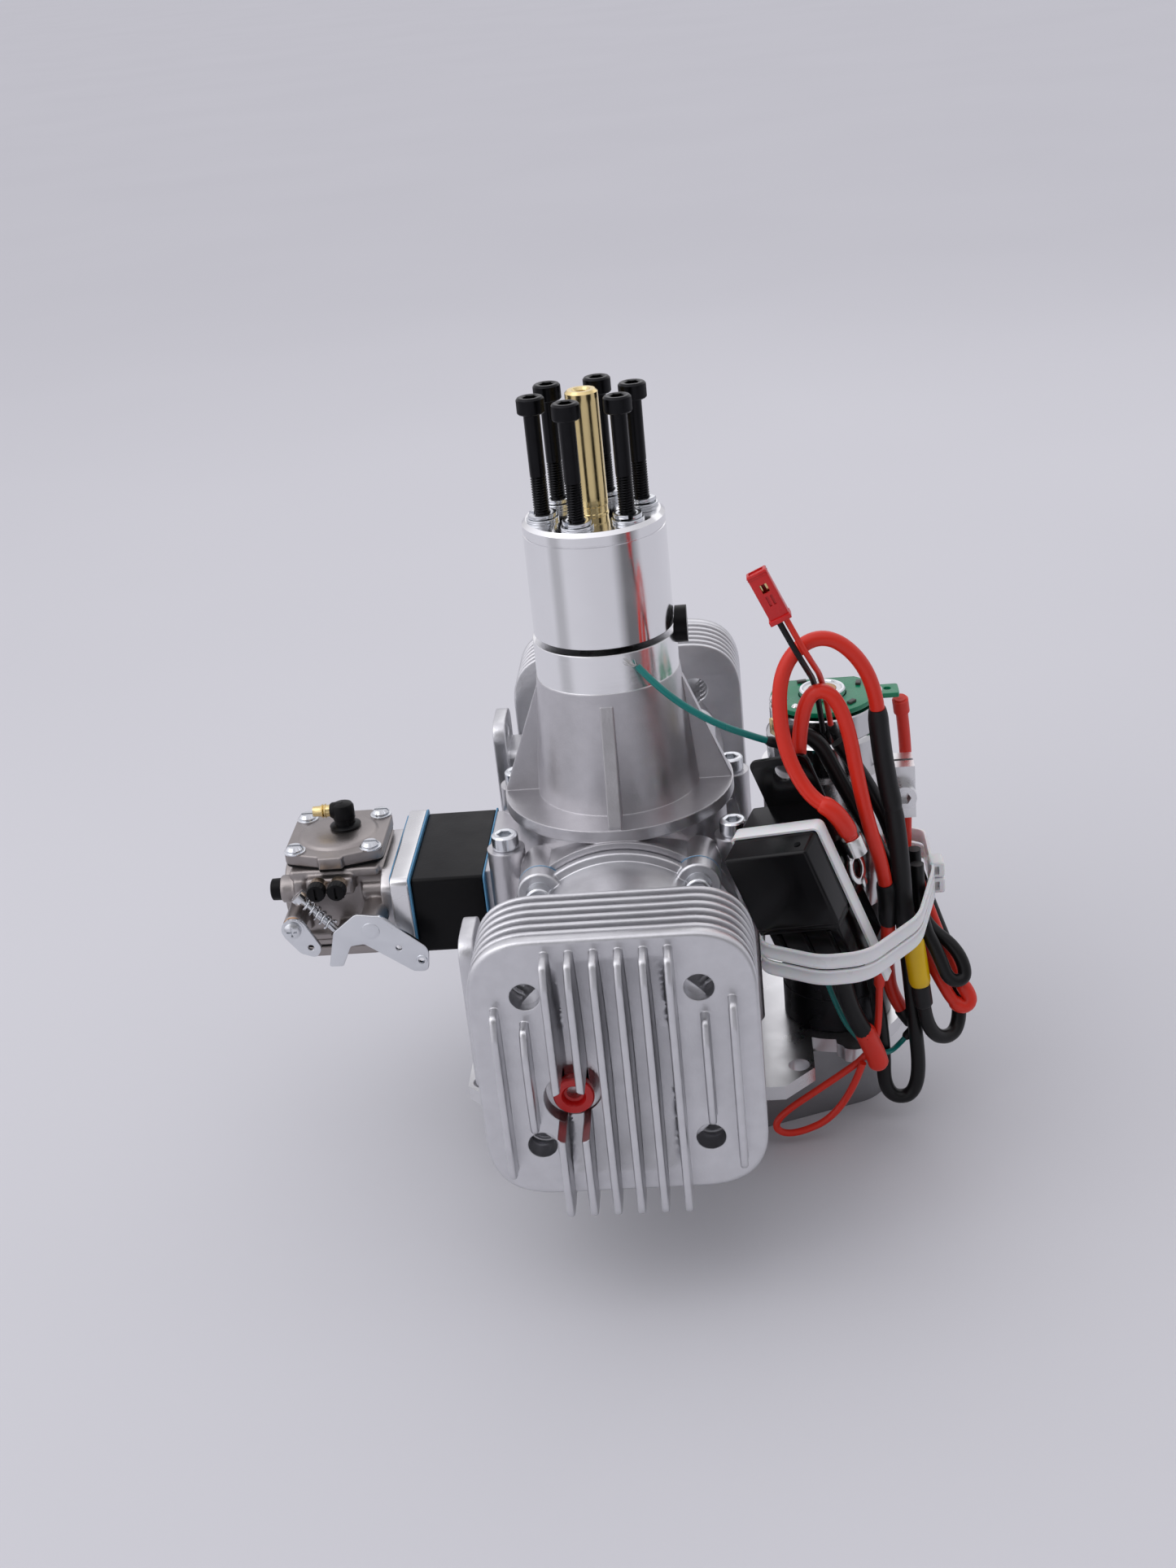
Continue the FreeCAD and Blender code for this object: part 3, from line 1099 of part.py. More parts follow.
BUILDERS = (
    crankcase_screws, crank_bearings, crankshaft_front, crankshaft_rear, base_gaskets, cylinder_screws, plug_caps,
    prop_hub, hub_magnet, prop_bolts, hub_washers, prop_stud, hall_sensor, reed_valve, insulator_block,
    intake_gaskets, carb_adapter, carb_body, pump_cover, carb_screws, fuel_elbow, fuel_nipple, throttle_lever,
    choke_lever, idle_screw, idle_spring, starter_gear, idler_gear, motor_pinion, gear_case, starter_plate,
    starter_motor, motor_board, motor_bracket, relay, zip_ties, ring_terminal, connector,
)
for builder in BUILDERS:
    save(builder.__name__, builder())
for name, needle_x in NEEDLE_XS.items():
    save(name, needle(needle_x))
lead_groups = {}
for name, (lead_r, route) in LEADS.items():
    solid, length, tightest = lead(lead_r, route)
    lead_groups.setdefault(SHARED_NODES.get(name, name), []).append(solid)
    print(f"{name}: length {length:.1f}, tightest bend {tightest:.1f}, {tightest / (2 * lead_r):.1f} diameters")
for name, solids in lead_groups.items():
    save(name, solids[0] if len(solids) == 1 else Part.makeCompound(solids))
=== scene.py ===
import math
import random

import bmesh
import bpy
from mathutils import Matrix, Vector


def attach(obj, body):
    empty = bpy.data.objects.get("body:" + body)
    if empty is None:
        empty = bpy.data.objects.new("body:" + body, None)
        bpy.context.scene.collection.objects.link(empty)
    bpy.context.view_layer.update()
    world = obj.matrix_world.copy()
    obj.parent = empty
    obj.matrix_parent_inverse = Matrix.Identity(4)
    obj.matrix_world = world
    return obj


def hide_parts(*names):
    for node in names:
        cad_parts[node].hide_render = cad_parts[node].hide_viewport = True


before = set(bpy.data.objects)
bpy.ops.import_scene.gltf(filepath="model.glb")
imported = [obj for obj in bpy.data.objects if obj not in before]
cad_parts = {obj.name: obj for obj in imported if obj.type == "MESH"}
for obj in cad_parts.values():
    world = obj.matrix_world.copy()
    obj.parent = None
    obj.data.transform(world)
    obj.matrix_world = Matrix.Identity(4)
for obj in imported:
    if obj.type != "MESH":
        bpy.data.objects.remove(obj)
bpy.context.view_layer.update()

# Lengths below are in millimetres, in the part's frame: +Z along the crank towards the propeller.
MM = 0.001
X, Y, Z = Vector((1, 0, 0)), Vector((0, 1, 0)), Vector((0, 0, 1))
STRAND_SEED, STRAND_COUNT = 7, 9
CAMERA_AT = Vector((43.7, -574.1, 360.1))
CAMERA_TARGET = Vector((-8.32, -20.0, 105.27))
CAMERA_ROLL = math.radians(-6.034)
CAMERA_LENS = 44.84
AXIS_A, AXIS_B = 55.0, 70.0


def add_object(name, data):
    thing = bpy.data.objects.new(name, data)
    bpy.context.scene.collection.objects.link(thing)
    return thing


# ---------- Camera ----------

def place_camera():
    data = bpy.data.cameras.new("view")
    data.lens = CAMERA_LENS
    camera = add_object("view", data)
    back = (CAMERA_AT - CAMERA_TARGET).normalized()
    side = Z.cross(back).normalized()
    up = back.cross(side)
    rolled_side = side * math.cos(CAMERA_ROLL) + up * math.sin(CAMERA_ROLL)
    rolled_up = up * math.cos(CAMERA_ROLL) - side * math.sin(CAMERA_ROLL)
    rotation = Matrix((rolled_side, rolled_up, back)).transposed().to_4x4()
    camera.matrix_world = Matrix.Translation(CAMERA_AT * MM) @ rotation
    bpy.context.scene.camera = camera


place_camera()


# ---------- Materials ----------

def add_node(tree, kind, inputs, **settings):
    """A shader node: each input is given a number, a colour or another node's output."""
    node = tree.nodes.new("ShaderNode" + kind)
    for key, value in settings.items():
        setattr(node, key, value)
    for key, value in inputs.items():
        if isinstance(value, bpy.types.NodeSocket):
            tree.links.new(value, node.inputs[key])
        else:
            node.inputs[key].default_value = value
    return node


def map_range(tree, value, low, high, to_low, to_high, **settings):
    inputs = {"Value": value, "From Min": low, "From Max": high, "To Min": to_low, "To Max": to_high}
    return add_node(tree, "MapRange", inputs, **settings).outputs["Result"]


class Shade:
    """A Principled material and the few node chains that the surfaces share."""

    def __init__(self, name, base, metallic=0.0, roughness=0.5, **sockets):
        self.material = bpy.data.materials.new(name)
        self.material.use_nodes = True
        self.tree = self.material.node_tree
        self.shader = self.tree.nodes["Principled BSDF"]
        self.shader.inputs["Base Color"].default_value = (*base, 1)
        self.shader.inputs["Metallic"].default_value = metallic
        self.shader.inputs["Roughness"].default_value = roughness
        for key, value in sockets.items():
            self.shader.inputs[key.replace("_", " ")].default_value = value
        self.place = self.add("TexCoord", {}).outputs["Object"]
        self.normal = None

    def add(self, kind, inputs, **settings):
        return add_node(self.tree, kind, inputs, **settings)

    def noise(self, scale, detail=3.0, stretch=None):
        """Noise with a scale in cycles per metre, drawn out along an axis by stretch."""
        place = self.place
        if stretch:
            place = self.add("Mapping", {"Scale": stretch, "Vector": place}).outputs["Vector"]
        return self.add("TexNoise", {"Scale": scale, "Detail": detail, "Vector": place}).outputs["Fac"]

    def ramp(self, value, low, high, to_low, to_high):
        return map_range(self.tree, value, low, high, to_low, to_high)

    def mix(self, factor, first, second):
        """The colour between two others; in a Mix node, inputs 6 and 7 are the colours."""
        first, second = (colour if isinstance(colour, bpy.types.NodeSocket) else (*colour, 1)
                         for colour in (first, second))
        return self.add("Mix", {"Factor": factor, 6: first, 7: second}, data_type="RGBA").outputs[2]

    def math(self, operation, first, second):
        return self.add("Math", {0: first, 1: second}, operation=operation).outputs[0]

    def axis(self, name):
        return self.add("SeparateXYZ", {0: self.place}).outputs[name]

    def colour(self, output):
        self.tree.links.new(output, self.shader.inputs["Base Color"])
        return self

    def rough(self, output):
        self.tree.links.new(output, self.shader.inputs["Roughness"])
        return self

    def round_edges(self, radius_mm):
        """Shades sharp edges as if they were rounded off, as on a casting."""
        self.normal = self.add("Bevel", {"Radius": radius_mm * MM}, samples=4).outputs["Normal"]

    def bump(self, height, depth_mm):
        inputs = {"Strength": 1.0, "Distance": depth_mm * MM, "Height": height}
        if self.normal:
            inputs["Normal"] = self.normal
        self.normal = self.add("Bump", inputs).outputs["Normal"]
        self.tree.links.new(self.normal, self.shader.inputs["Normal"])
        return self


def toned(base, factor):
    return [min(channel * factor, 1.0) for channel in base]


def metal(name, base, roughness, spread=0.08, grain=900.0, grain_mm=0.02, stretch=None, stain=0.9):
    """A metal with fine grain, uneven gloss and faint stains."""
    shade = Shade(name, base, 1.0, roughness)
    patches = shade.noise(70.0, 4.0)
    fine = shade.noise(grain, 4.0, stretch)
    shade.rough(shade.ramp(patches, 0.3, 0.7, roughness - spread, roughness + spread))
    shade.colour(shade.mix(shade.noise(160.0, 5.0), toned(base, stain), base))
    return shade.bump(fine, grain_mm)


def cast_aluminium(name, base, roughness, machined_above=None):
    """Blasted casting; above a height it's turned smooth."""
    shade = Shade(name, base, 1.0, roughness)
    shade.round_edges(0.6)
    pits = shade.noise(1500.0, 3.0)
    swell = shade.noise(320.0, 2.0)
    rough = shade.ramp(shade.noise(60.0, 3.0), 0.3, 0.7, roughness - 0.05, roughness + 0.07)
    tone = shade.mix(shade.noise(220.0, 6.0), toned(base, 0.86), toned(base, 1.04))
    if machined_above is not None:
        mask = shade.math("GREATER_THAN", shade.axis("Z"), machined_above * MM)
        turned_rough = shade.ramp(shade.noise(40.0, 4.0, (1, 1, 60)), 0.3, 0.7, 0.14, 0.24)
        rough = shade.add("Mix", {"Factor": mask, 2: rough, 3: turned_rough}).outputs[0]
        tone = shade.mix(mask, tone, (0.88, 0.88, 0.89))
        pits = shade.math("MULTIPLY", pits, shade.math("SUBTRACT", 1.0, mask))
    shade.rough(rough).colour(tone)
    shade.bump(swell, 0.03)
    return shade.bump(pits, 0.05)


def plastic(name, base, roughness, grain=1200.0, grain_mm=0.01, tint=0.8, **sockets):
    shade = Shade(name, base, 0.0, roughness, **sockets)
    shade.colour(shade.mix(shade.noise(130.0, 4.0), toned(base, tint), base))
    shade.rough(shade.ramp(shade.noise(90.0, 3.0), 0.3, 0.7, roughness - 0.06, roughness + 0.06))
    return shade.bump(shade.noise(grain, 3.0), grain_mm)


# Each look: how it's made, its colour, roughness and what else its maker takes.
LOOKS = {
    "cast": (cast_aluminium, (0.70, 0.70, 0.72), 0.34),
    # The nose castings' colour is a darker copy of the cylinders' cast aluminium: painted shade for the shading on
    # the nose's cone.
    "cast_nose": (cast_aluminium, (0.60, 0.59, 0.61), 0.34, 136.0),
    "turned": (metal, (0.88, 0.88, 0.89), 0.14, 0.05, 50.0, 0.01, (1, 1, 50), 0.96),
    "plate": (metal, (0.82, 0.82, 0.83), 0.3, 0.07, 500.0, 0.015, (1, 6, 1)),
    "dark_cast": (cast_aluminium, (0.33, 0.33, 0.34), 0.45),
    "steel": (metal, (0.55, 0.54, 0.53), 0.3),
    "ground": (metal, (0.72, 0.72, 0.72), 0.2),
    "zinc": (metal, (0.78, 0.80, 0.83), 0.22, 0.06, 700.0, 0.01, None, 0.85),
    "black_steel": (metal, (0.022, 0.022, 0.024), 0.32, 0.06, 900.0, 0.015, None, 0.6),
    "brass": (metal, (0.83, 0.66, 0.33), 0.2, 0.05, 60.0, 0.01, (1, 1, 30), 0.85),
    "carb_zinc": (cast_aluminium, (0.36, 0.33, 0.32), 0.38),
    "can": (metal, (0.62, 0.62, 0.63), 0.16, 0.05, 90.0, 0.01, (1, 1, 20)),
    "gasket": (plastic, (0.10, 0.30, 0.50), 0.6),
    "black": (plastic, (0.004, 0.004, 0.0045), 0.34, 900.0, 0.02),
    "red": (plastic, (0.62, 0.012, 0.012), 0.3, 700.0, 0.01),
    "board": (plastic, (0.0, 0.22, 0.10), 0.28, 400.0, 0.01),
    "nylon": (plastic, (0.83, 0.84, 0.85), 0.32, 500.0, 0.01, 0.95),
    "tin": (metal, (0.85, 0.85, 0.84), 0.2),
    "red_lead": (plastic, (0.72, 0.028, 0.012), 0.34, 900.0, 0.01, 0.92),
    "black_lead": (plastic, (0.006, 0.006, 0.0065), 0.36, 900.0, 0.015, 0.7),
    "green_lead": (plastic, (0.0, 0.20, 0.18), 0.3, 900.0, 0.01),
    "relay": (plastic, (0.0025, 0.0025, 0.003), 0.2, 500.0, 0.004),
    "black_can": (metal, (0.03, 0.03, 0.032), 0.3),
    "bronze": (metal, (0.50, 0.27, 0.13), 0.4),
    "carb_light": (cast_aluminium, (0.66, 0.64, 0.64), 0.32),
    "tan_metal": (metal, (0.62, 0.5, 0.38), 0.3),
    "chip": (plastic, (0.05, 0.045, 0.04), 0.4),
    "yellow": (plastic, (0.83, 0.52, 0.0), 0.35),
    "shrink": (plastic, (0.010, 0.010, 0.011), 0.45, 500.0, 0.04),
}
# How strongly the plainest plastics mirror the room, and the nylon's translucence.
SOCKETS = {
    "black": {"Specular_IOR_Level": 0.14},
    "relay": {"Specular_IOR_Level": 0.24},
    "red_lead": {"Specular_IOR_Level": 0.4},
    "black_lead": {"Specular_IOR_Level": 0.3},
    "shrink": {"Specular_IOR_Level": 0.3},
    "nylon": {"Subsurface_Weight": 0.4, "Subsurface_Scale": 0.001},
}
MATERIALS = {name: make(name, *values, **SOCKETS.get(name, {})).material
             for name, (make, *values) in LOOKS.items()}

NODE_LOOKS = {
    "cast": "cylinder_a cylinder_b reed_valve",
    "cast_nose": "front_crankcase rear_crankcase",
    "turned": "prop_hub",
    "plate": "starter_plate motor_bracket carb_adapter",
    "dark_cast": "gear_case",
    "steel": "crankshaft_front crankshaft_rear con_rod_a con_rod_b starter_gear idler_gear motor_pinion"
             " piston_a piston_b",
    "ground": "pins_a pins_b crank_bearings hub_magnet",
    "zinc": "crankcase_screws cylinder_screws hub_washers carb_screws throttle_lever choke_lever idle_screw"
            " idle_spring",
    "black_steel": "prop_bolts",
    "brass": "prop_stud fuel_nipple",
    "carb_zinc": "carb_body pump_cover",
    "can": "starter_motor",
    "gasket": "base_gaskets intake_gaskets",
    "black": "insulator_block hall_sensor fuel_elbow relay high_needle low_needle",
    "red": "plug_caps connector",
    "board": "motor_board",
    "nylon": "zip_ties",
    "tin": "ring_terminal",
}
for look, names in NODE_LOOKS.items():
    for name in names.split():
        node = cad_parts[name]
        node.data.materials.clear()
        node.data.materials.append(MATERIALS[look])


# ---------- Leads ----------

def nurbs_curve(name, points, unit, resolution):
    """A curve drawn by NURBS of order 3 through its end points, pulled towards the others."""
    curve = bpy.data.curves.new(name, "CURVE")
    curve.dimensions = "3D"
    curve.resolution_u = resolution
    spline = curve.splines.new("NURBS")
    spline.points.add(len(points) - 1)
    for control, point in zip(spline.points, points):
        control.co = (*(Vector(point) * unit), 1)
    spline.order_u = 3
    spline.use_endpoint_u = True
    return curve


# Each lead: radius, look, the route's points from where it leaves the object, length, how it ends.
LEADS = {
    "lead_red_a": (2.3, "red_lead", [
        (88, -30, 50), (87, -30, 86), (82.5, -29, 112), (81, -32, 141), (67, -35, 157), (53, -37, 148),
        (52, -38.5, 124), (59, -43, 107), (68.3, -46.5, 102.5), (71.4, -42.9, 92.5)], 188.6, "fitting"),
    "lead_red_b": (2.3, "red_lead", [
        (57.5, -33, 117), (59, -34.5, 138), (71, -36, 137), (76, -37, 98), (82, -32, 74), (83, -28, 54),
        (82.5, -17, 34), (84, -16, 18), (91, -15.5, 8)], 164.5, "object"),
    "lead_black_a": (2.4, "black_lead", [
        (52, -26, 121), (62, -26, 122), (70, -26, 103), (80, -26, 82), (89, -25, 58), (92, -26.5, 34),
        (94.5, -27, 9.5), (105.5, -20, 5.5), (106, -12, 24), (98.8, 2, 43), (93.5, 3, 60)], 198.4, "object"),
    "lead_black_b": (2.4, "black_lead", [
        (70, -20, 114), (78, -20, 101), (87, -19, 78), (88, -19, 52), (90, -22.5, 22), (92.3, -23, -15),
        (79.5, -23, -15.5), (80.5, -23, 10), (77, -27, 36)], 192.5, "object"),
    "lead_black_c": (2.2, "black_lead", [
        (93, -20, 70), (93.3, -20.5, 50), (98.5, -25, 40), (101.5, -27, 30), (107.8, -25, 30), (105, -21, 39),
        (95.5, -16, 45.5), (92.8, -13.5, 56), (92.8, -13.5, 72)], 95.7, "object"),
    "lead_black_d": (3.0, "black_lead", [(67, -37, 42), (68, -35.5, 28), (74, -35, 17)], None, None),
    "lead_red_c": (2.0, "red_lead", [
        (91.5, 7, 116), (93.5, 12, 98), (93, 15, 72), (91.7, 9, 54), (91.3, -8, 42), (98, -20, 30),
        (104.5, -22.5, 17), (110, -20.5, 18.5), (104.5, -19, 28), (98.5, -12, 44), (93.8, -8, 60)],
        166.4, "object"),
    "thin_red": (1.2, "red_lead", [
        (79.5, -29, 46), (79, -31, 24), (76.5, -32.5, 9), (62, -32, -2), (41, -33, -16), (47, -34, -22),
        (66, -33, -14), (72.5, -35, 6.5)], 126.7, "object"),
    "signal_red": (0.9, "red_lead", [
        (68, -20, 120), (66, -27, 138), (62.5, -41, 149), (58.7, -44, 157.5), (55.4, -44, 164.9)],
        54.7, "connector"),
    "signal_black": (0.9, "black_lead", [
        (65.6, -20, 118), (64, -27.5, 136.5), (60.5, -41.5, 148), (56.7, -44, 156.7), (53.4, -44, 164.0)],
        55.6, "connector"),
    "sensor_green": (1.1, "green_lead", [
        (10.6, -21.8, 144.2), (18, -26, 136.5), (32, -26.5, 126), (46, -24, 118.5), (55, -22, 114.5),
        (61, -19, 106)], 65.5, "object"),
    "tail_green": (0.9, "green_lead", [
        (60, -27, 43), (65.5, -26, 20), (73, -28.5, 9.5), (80.5, -28.5, 4.5), (87, -19.1, 4),
        (92.5, -19.1, 11.5)], 64.3, "object"),
}
# Two short leads share a CAD node with a neighbour.
SHARED_NODES = {"lead_black_d": "lead_black_c", "tail_green": "sensor_green"}


def build_leads():
    for name, (radius, look, route, length, far_end) in LEADS.items():
        curve = nurbs_curve("wire_" + name, route, MM, 12)
        curve.bevel_depth = radius * MM
        curve.bevel_resolution = 5
        curve.use_fill_caps = True
        curve.materials.append(MATERIALS[look])
        piece = add_object("wire_" + name, curve)
        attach(piece, "engine")
        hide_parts(SHARED_NODES.get(name, name))


# ---------- Shapes ----------
# A shape is a list of points in millimetres and a list of faces.

def frame_on(base, axis):
    """A matrix that puts the local origin at base and local Z along axis."""
    axis = Vector(axis).normalized()
    side = X if abs(axis.x) < 0.9 else Y
    side = (side - axis * axis.dot(side)).normalized()
    turn = Matrix((side, axis.cross(side), axis)).transposed().to_4x4()
    return Matrix.Translation(Vector(base)) @ turn


def spun(degrees, axis, at=(0, 0, 0)):
    return Matrix.Translation(at) @ Matrix.Rotation(math.radians(degrees), 4, axis)


def moved(shape, matrix):
    return [matrix @ Vector(point) for point in shape[0]], shape[1]


def joined(shapes):
    points, faces = [], []
    for more, loops in shapes:
        first = len(points)
        points += more
        faces += [tuple(first + index for index in loop) for loop in loops]
    return points, faces


def skinned(rings, closed=False):
    """Skin over rings of points that all have the same count, capped unless it closes on itself."""
    count = len(rings[0])
    points = [point for ring in rings for point in ring]
    faces = []
    for level in range(len(rings) if closed else len(rings) - 1):
        low, high = level * count, (level + 1) % len(rings) * count
        for index in range(count):
            after = (index + 1) % count
            faces.append((low + index, low + after, high + after, high + index))
    if not closed:
        faces.append(tuple(reversed(range(count))))
        faces.append(tuple(range(len(points) - count, len(points))))
    return points, faces


def turned(profile, base=(0, 0, 0), axis=Z, count=48, closed=False):
    """Rings of (height, radius) about an axis; a radius may be a function of the angle and the height."""
    rings = []
    for height, radius in profile:
        ring = []
        for index in range(count):
            angle = math.tau * index / count
            reach = radius(angle, height) if callable(radius) else radius
            ring.append(Vector((reach * math.cos(angle), reach * math.sin(angle), height)))
        rings.append(ring)
    return moved(skinned(rings, closed), frame_on(base, axis))


def rounded_loop(corners, radius, steps=6):
    """A closed polygon with its corners rounded: corners are (x, y) or (x, y, radius)."""
    loop = []
    for index, corner in enumerate(corners):
        here = Vector(corner[:2])
        reach = corner[2] if len(corner) > 2 else radius
        before = Vector(corners[index - 1][:2]) - here
        after = Vector(corners[(index + 1) % len(corners)][:2]) - here
        if reach <= 0:
            loop.append(here)
            continue
        half = before.angle(after) / 2
        along = min(reach / math.tan(half), 0.49 * before.length, 0.49 * after.length)
        enter, leave = here + before.normalized() * along, here + after.normalized() * along
        for step in range(steps + 1):
            t = step / steps
            loop.append(enter * (1 - t) ** 2 + here * 2 * t * (1 - t) + leave * t ** 2)
    return loop


def box_loop(half_x, half_y, radius, centre=(0, 0), steps=8):
    cx, cy = centre
    corners = [(cx + sx * half_x, cy + sy * half_y) for sx, sy in ((1, -1), (1, 1), (-1, 1), (-1, -1))]
    return rounded_loop(corners, radius, steps)


def circle_loop(centre, radius, count=32):
    turns = [math.tau * index / count for index in range(count)]
    return [Vector((centre[0] + radius * math.cos(turn), centre[1] + radius * math.sin(turn))) for turn in turns]


def plate(loops, low, high, edge=0.3, steps=2):
    """A flat plate from low to high with eased edges: the first loop is its outline, the others are holes."""
    curve = bpy.data.curves.new("outline", "CURVE")
    curve.dimensions = "2D"
    curve.fill_mode = "BOTH"
    curve.extrude = (high - low) / 2 - edge
    curve.bevel_depth = edge
    curve.bevel_resolution = steps
    curve.offset = -edge
    for loop in loops:
        spline = curve.splines.new("POLY")
        spline.points.add(len(loop) - 1)
        for control, point in zip(spline.points, loop):
            control.co = (point[0], point[1], 0, 1)
        spline.use_cyclic_u = True
    mesh = mesh_of_curve(curve)
    work = bmesh.new()
    work.from_mesh(mesh)
    bpy.data.meshes.remove(mesh)
    bmesh.ops.remove_doubles(work, verts=work.verts, dist=0.0005)
    for vertex in work.verts:
        vertex.co += Z * ((low + high) / 2)
    return shape_of(work)


def mesh_of_curve(curve):
    """The curve as a mesh; the curve goes."""
    source = bpy.data.objects.new("source", curve)
    mesh = bpy.data.meshes.new_from_object(source)
    bpy.data.objects.remove(source)
    bpy.data.curves.remove(curve)
    return mesh


def bmesh_of(shape):
    work = bmesh.new()
    points = [work.verts.new(point) for point in shape[0]]
    for loop in shape[1]:
        if len(set(loop)) > 2:
            work.faces.new([points[index] for index in loop])
    work.normal_update()
    return work


def shape_of(work):
    work.verts.index_update()
    points = [vertex.co.copy() for vertex in work.verts]
    faces = [tuple(vertex.index for vertex in face.verts) for face in work.faces]
    work.free()
    return points, faces


def box(x, y, z, edge=0.3, segments=2):
    """A box between two values on each axis, with its edges rounded."""
    corners = [Vector((a, b, c)) for c in z for a, b in ((x[0], y[0]), (x[1], y[0]), (x[1], y[1]), (x[0], y[1]))]
    shape = skinned([corners[:4], corners[4:]])
    if not edge:
        return shape
    work = bmesh_of(shape)
    bmesh.ops.bevel(work, geom=list(work.edges), offset=edge, segments=segments, affect="EDGES", profile=0.5,
                    clamp_overlap=True)
    return shape_of(work)


def mesh_object(name, shape):
    mesh = bpy.data.meshes.new(name)
    mesh.from_pydata([tuple(point) for point in shape[0]], [], shape[1])
    return add_object(name, mesh)


def drop(thing):
    mesh = thing.data
    bpy.data.objects.remove(thing)
    bpy.data.meshes.remove(mesh)


def modified(shape, *settings):
    """The shape after a stack of modifiers, each a type and its settings."""
    holder = mesh_object("work", shape)
    for kind, values in settings:
        modifier = holder.modifiers.new(kind, kind)
        for key, value in values.items():
            setattr(modifier, key, value)
    bpy.context.view_layer.update()
    result = bpy.data.meshes.new_from_object(holder.evaluated_get(bpy.context.evaluated_depsgraph_get()))
    shape = [vertex.co.copy() for vertex in result.vertices], [tuple(face.vertices) for face in result.polygons]
    drop(holder)
    bpy.data.meshes.remove(result)
    return shape


def cut(shape, cutters):
    """The shape less the cutters, which don't overlap each other."""
    cutter = mesh_object("cutter", joined(cutters))
    result = modified(shape, ("BOOLEAN", {"object": cutter, "operation": "DIFFERENCE", "solver": "EXACT",
                                          "use_self": False}))
    drop(cutter)
    return result


def cast_skin(shape, voxel, rounds):
    """One skin over overlapping solids, with the soft inner corners of a casting."""
    return modified(shape, ("REMESH", {"mode": "VOXEL", "voxel_size": voxel}),
                    ("SMOOTH", {"factor": 0.5, "iterations": rounds}))


def place_piece(name, shape, look, stands_for=None, body="engine", sharp=35.0):
    """Make the shape a piece that rides on a body and stands for a CAD node, if one is named."""
    work = bmesh_of(shape)
    bmesh.ops.recalc_face_normals(work, faces=work.faces)
    bmesh.ops.scale(work, vec=(MM, MM, MM), verts=work.verts)
    mesh = bpy.data.meshes.new(name)
    work.to_mesh(mesh)
    work.free()
    mesh.materials.append(MATERIALS[look])
    mesh.polygons.foreach_set("use_smooth", [True] * len(mesh.polygons))
    mesh.set_sharp_from_angle(angle=math.radians(sharp))
    piece = add_object(name, mesh)
    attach(piece, body)
    if stands_for:
        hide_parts(stands_for)


def directions(path, closed=False):
    """The direction of a path at each of its points, from the point before to the point after."""
    count = len(path)
    for index in range(count):
        if closed:
            yield (path[(index + 1) % count] - path[index - 1]).normalized()
        else:
            yield (path[min(index + 1, count - 1)] - path[max(index - 1, 0)]).normalized()


def swept(path, section, up=Z, closed=False):
    """A section carried along a path: section(index) gives points (across, out) at each path point."""
    rings = []
    for index, (point, along) in enumerate(zip(path, directions(path, closed))):
        side = along.cross(up).normalized()
        over = side.cross(along)
        rings.append([point + over * across + side * out for across, out in section(index)])
    return skinned(rings, closed)


def spaced(points, step, closed=False):
    """Points an even step apart along a line through the given points."""
    run = list(points) + ([points[0]] if closed else [])
    lengths = [0.0]
    for first, second in zip(run, run[1:]):
        lengths.append(lengths[-1] + (second - first).length)
    count = max(2, round(lengths[-1] / step))
    result = []
    segment = 0
    for index in range(count if closed else count + 1):
        target = lengths[-1] * index / count
        while segment < len(run) - 2 and lengths[segment + 1] < target:
            segment += 1
        span = lengths[segment + 1] - lengths[segment]
        t = (target - lengths[segment]) / span if span > 0 else 0
        result.append(run[segment].lerp(run[segment + 1], t))
    return result


def spline_line(points):
    """The points that a lead's own spline passes through, in millimetres."""
    mesh = mesh_of_curve(nurbs_curve("line", points, 1, 16))
    line = [vertex.co.copy() for vertex in mesh.vertices]
    bpy.data.meshes.remove(mesh)
    return line


SLEEVE_STEP = 0.8


def sleeve(line, start, end, profile, count=24):
    """A sleeve along part of a line: profile(t) gives its radius from its start to its end."""
    run = spaced(line, SLEEVE_STEP)[round(start / SLEEVE_STEP):round(end / SLEEVE_STEP) + 1]
    side = None
    rings = []
    for index, (point, along) in enumerate(zip(run, directions(run))):
        if side is None:
            side = along.cross(X if abs(along.x) < 0.8 else Y)
        side = (side - along * along.dot(side)).normalized()
        other = along.cross(side)
        radius = profile(index / (len(run) - 1))
        turns = [math.tau * step / count for step in range(count)]
        rings.append([point + side * radius * math.cos(turn) + other * radius * math.sin(turn) for turn in turns])
    return skinned(rings)


# ---------- Screws ----------

def hex_reach(flats):
    def reach(angle, height):
        return flats / 2 / math.cos(angle % (math.pi / 3) - math.pi / 6)
    return reach


def knurl_reach(radius, teeth=36, depth=0.07):
    def reach(angle, height):
        return radius - depth * (1 - math.cos(teeth * angle))
    return reach


def thread_rings(low, high, radius, pitch):
    """Rings of a thread: its depth is half its pitch, with six rings to each turn."""
    def reach(angle, height):
        return radius - 0.5 * pitch * (0.5 + 0.5 * math.cos(math.tau * height / pitch - angle))
    steps = round((high - low) / pitch * 6)
    return [(low + (high - low) * step / steps, reach) for step in range(steps + 1)]


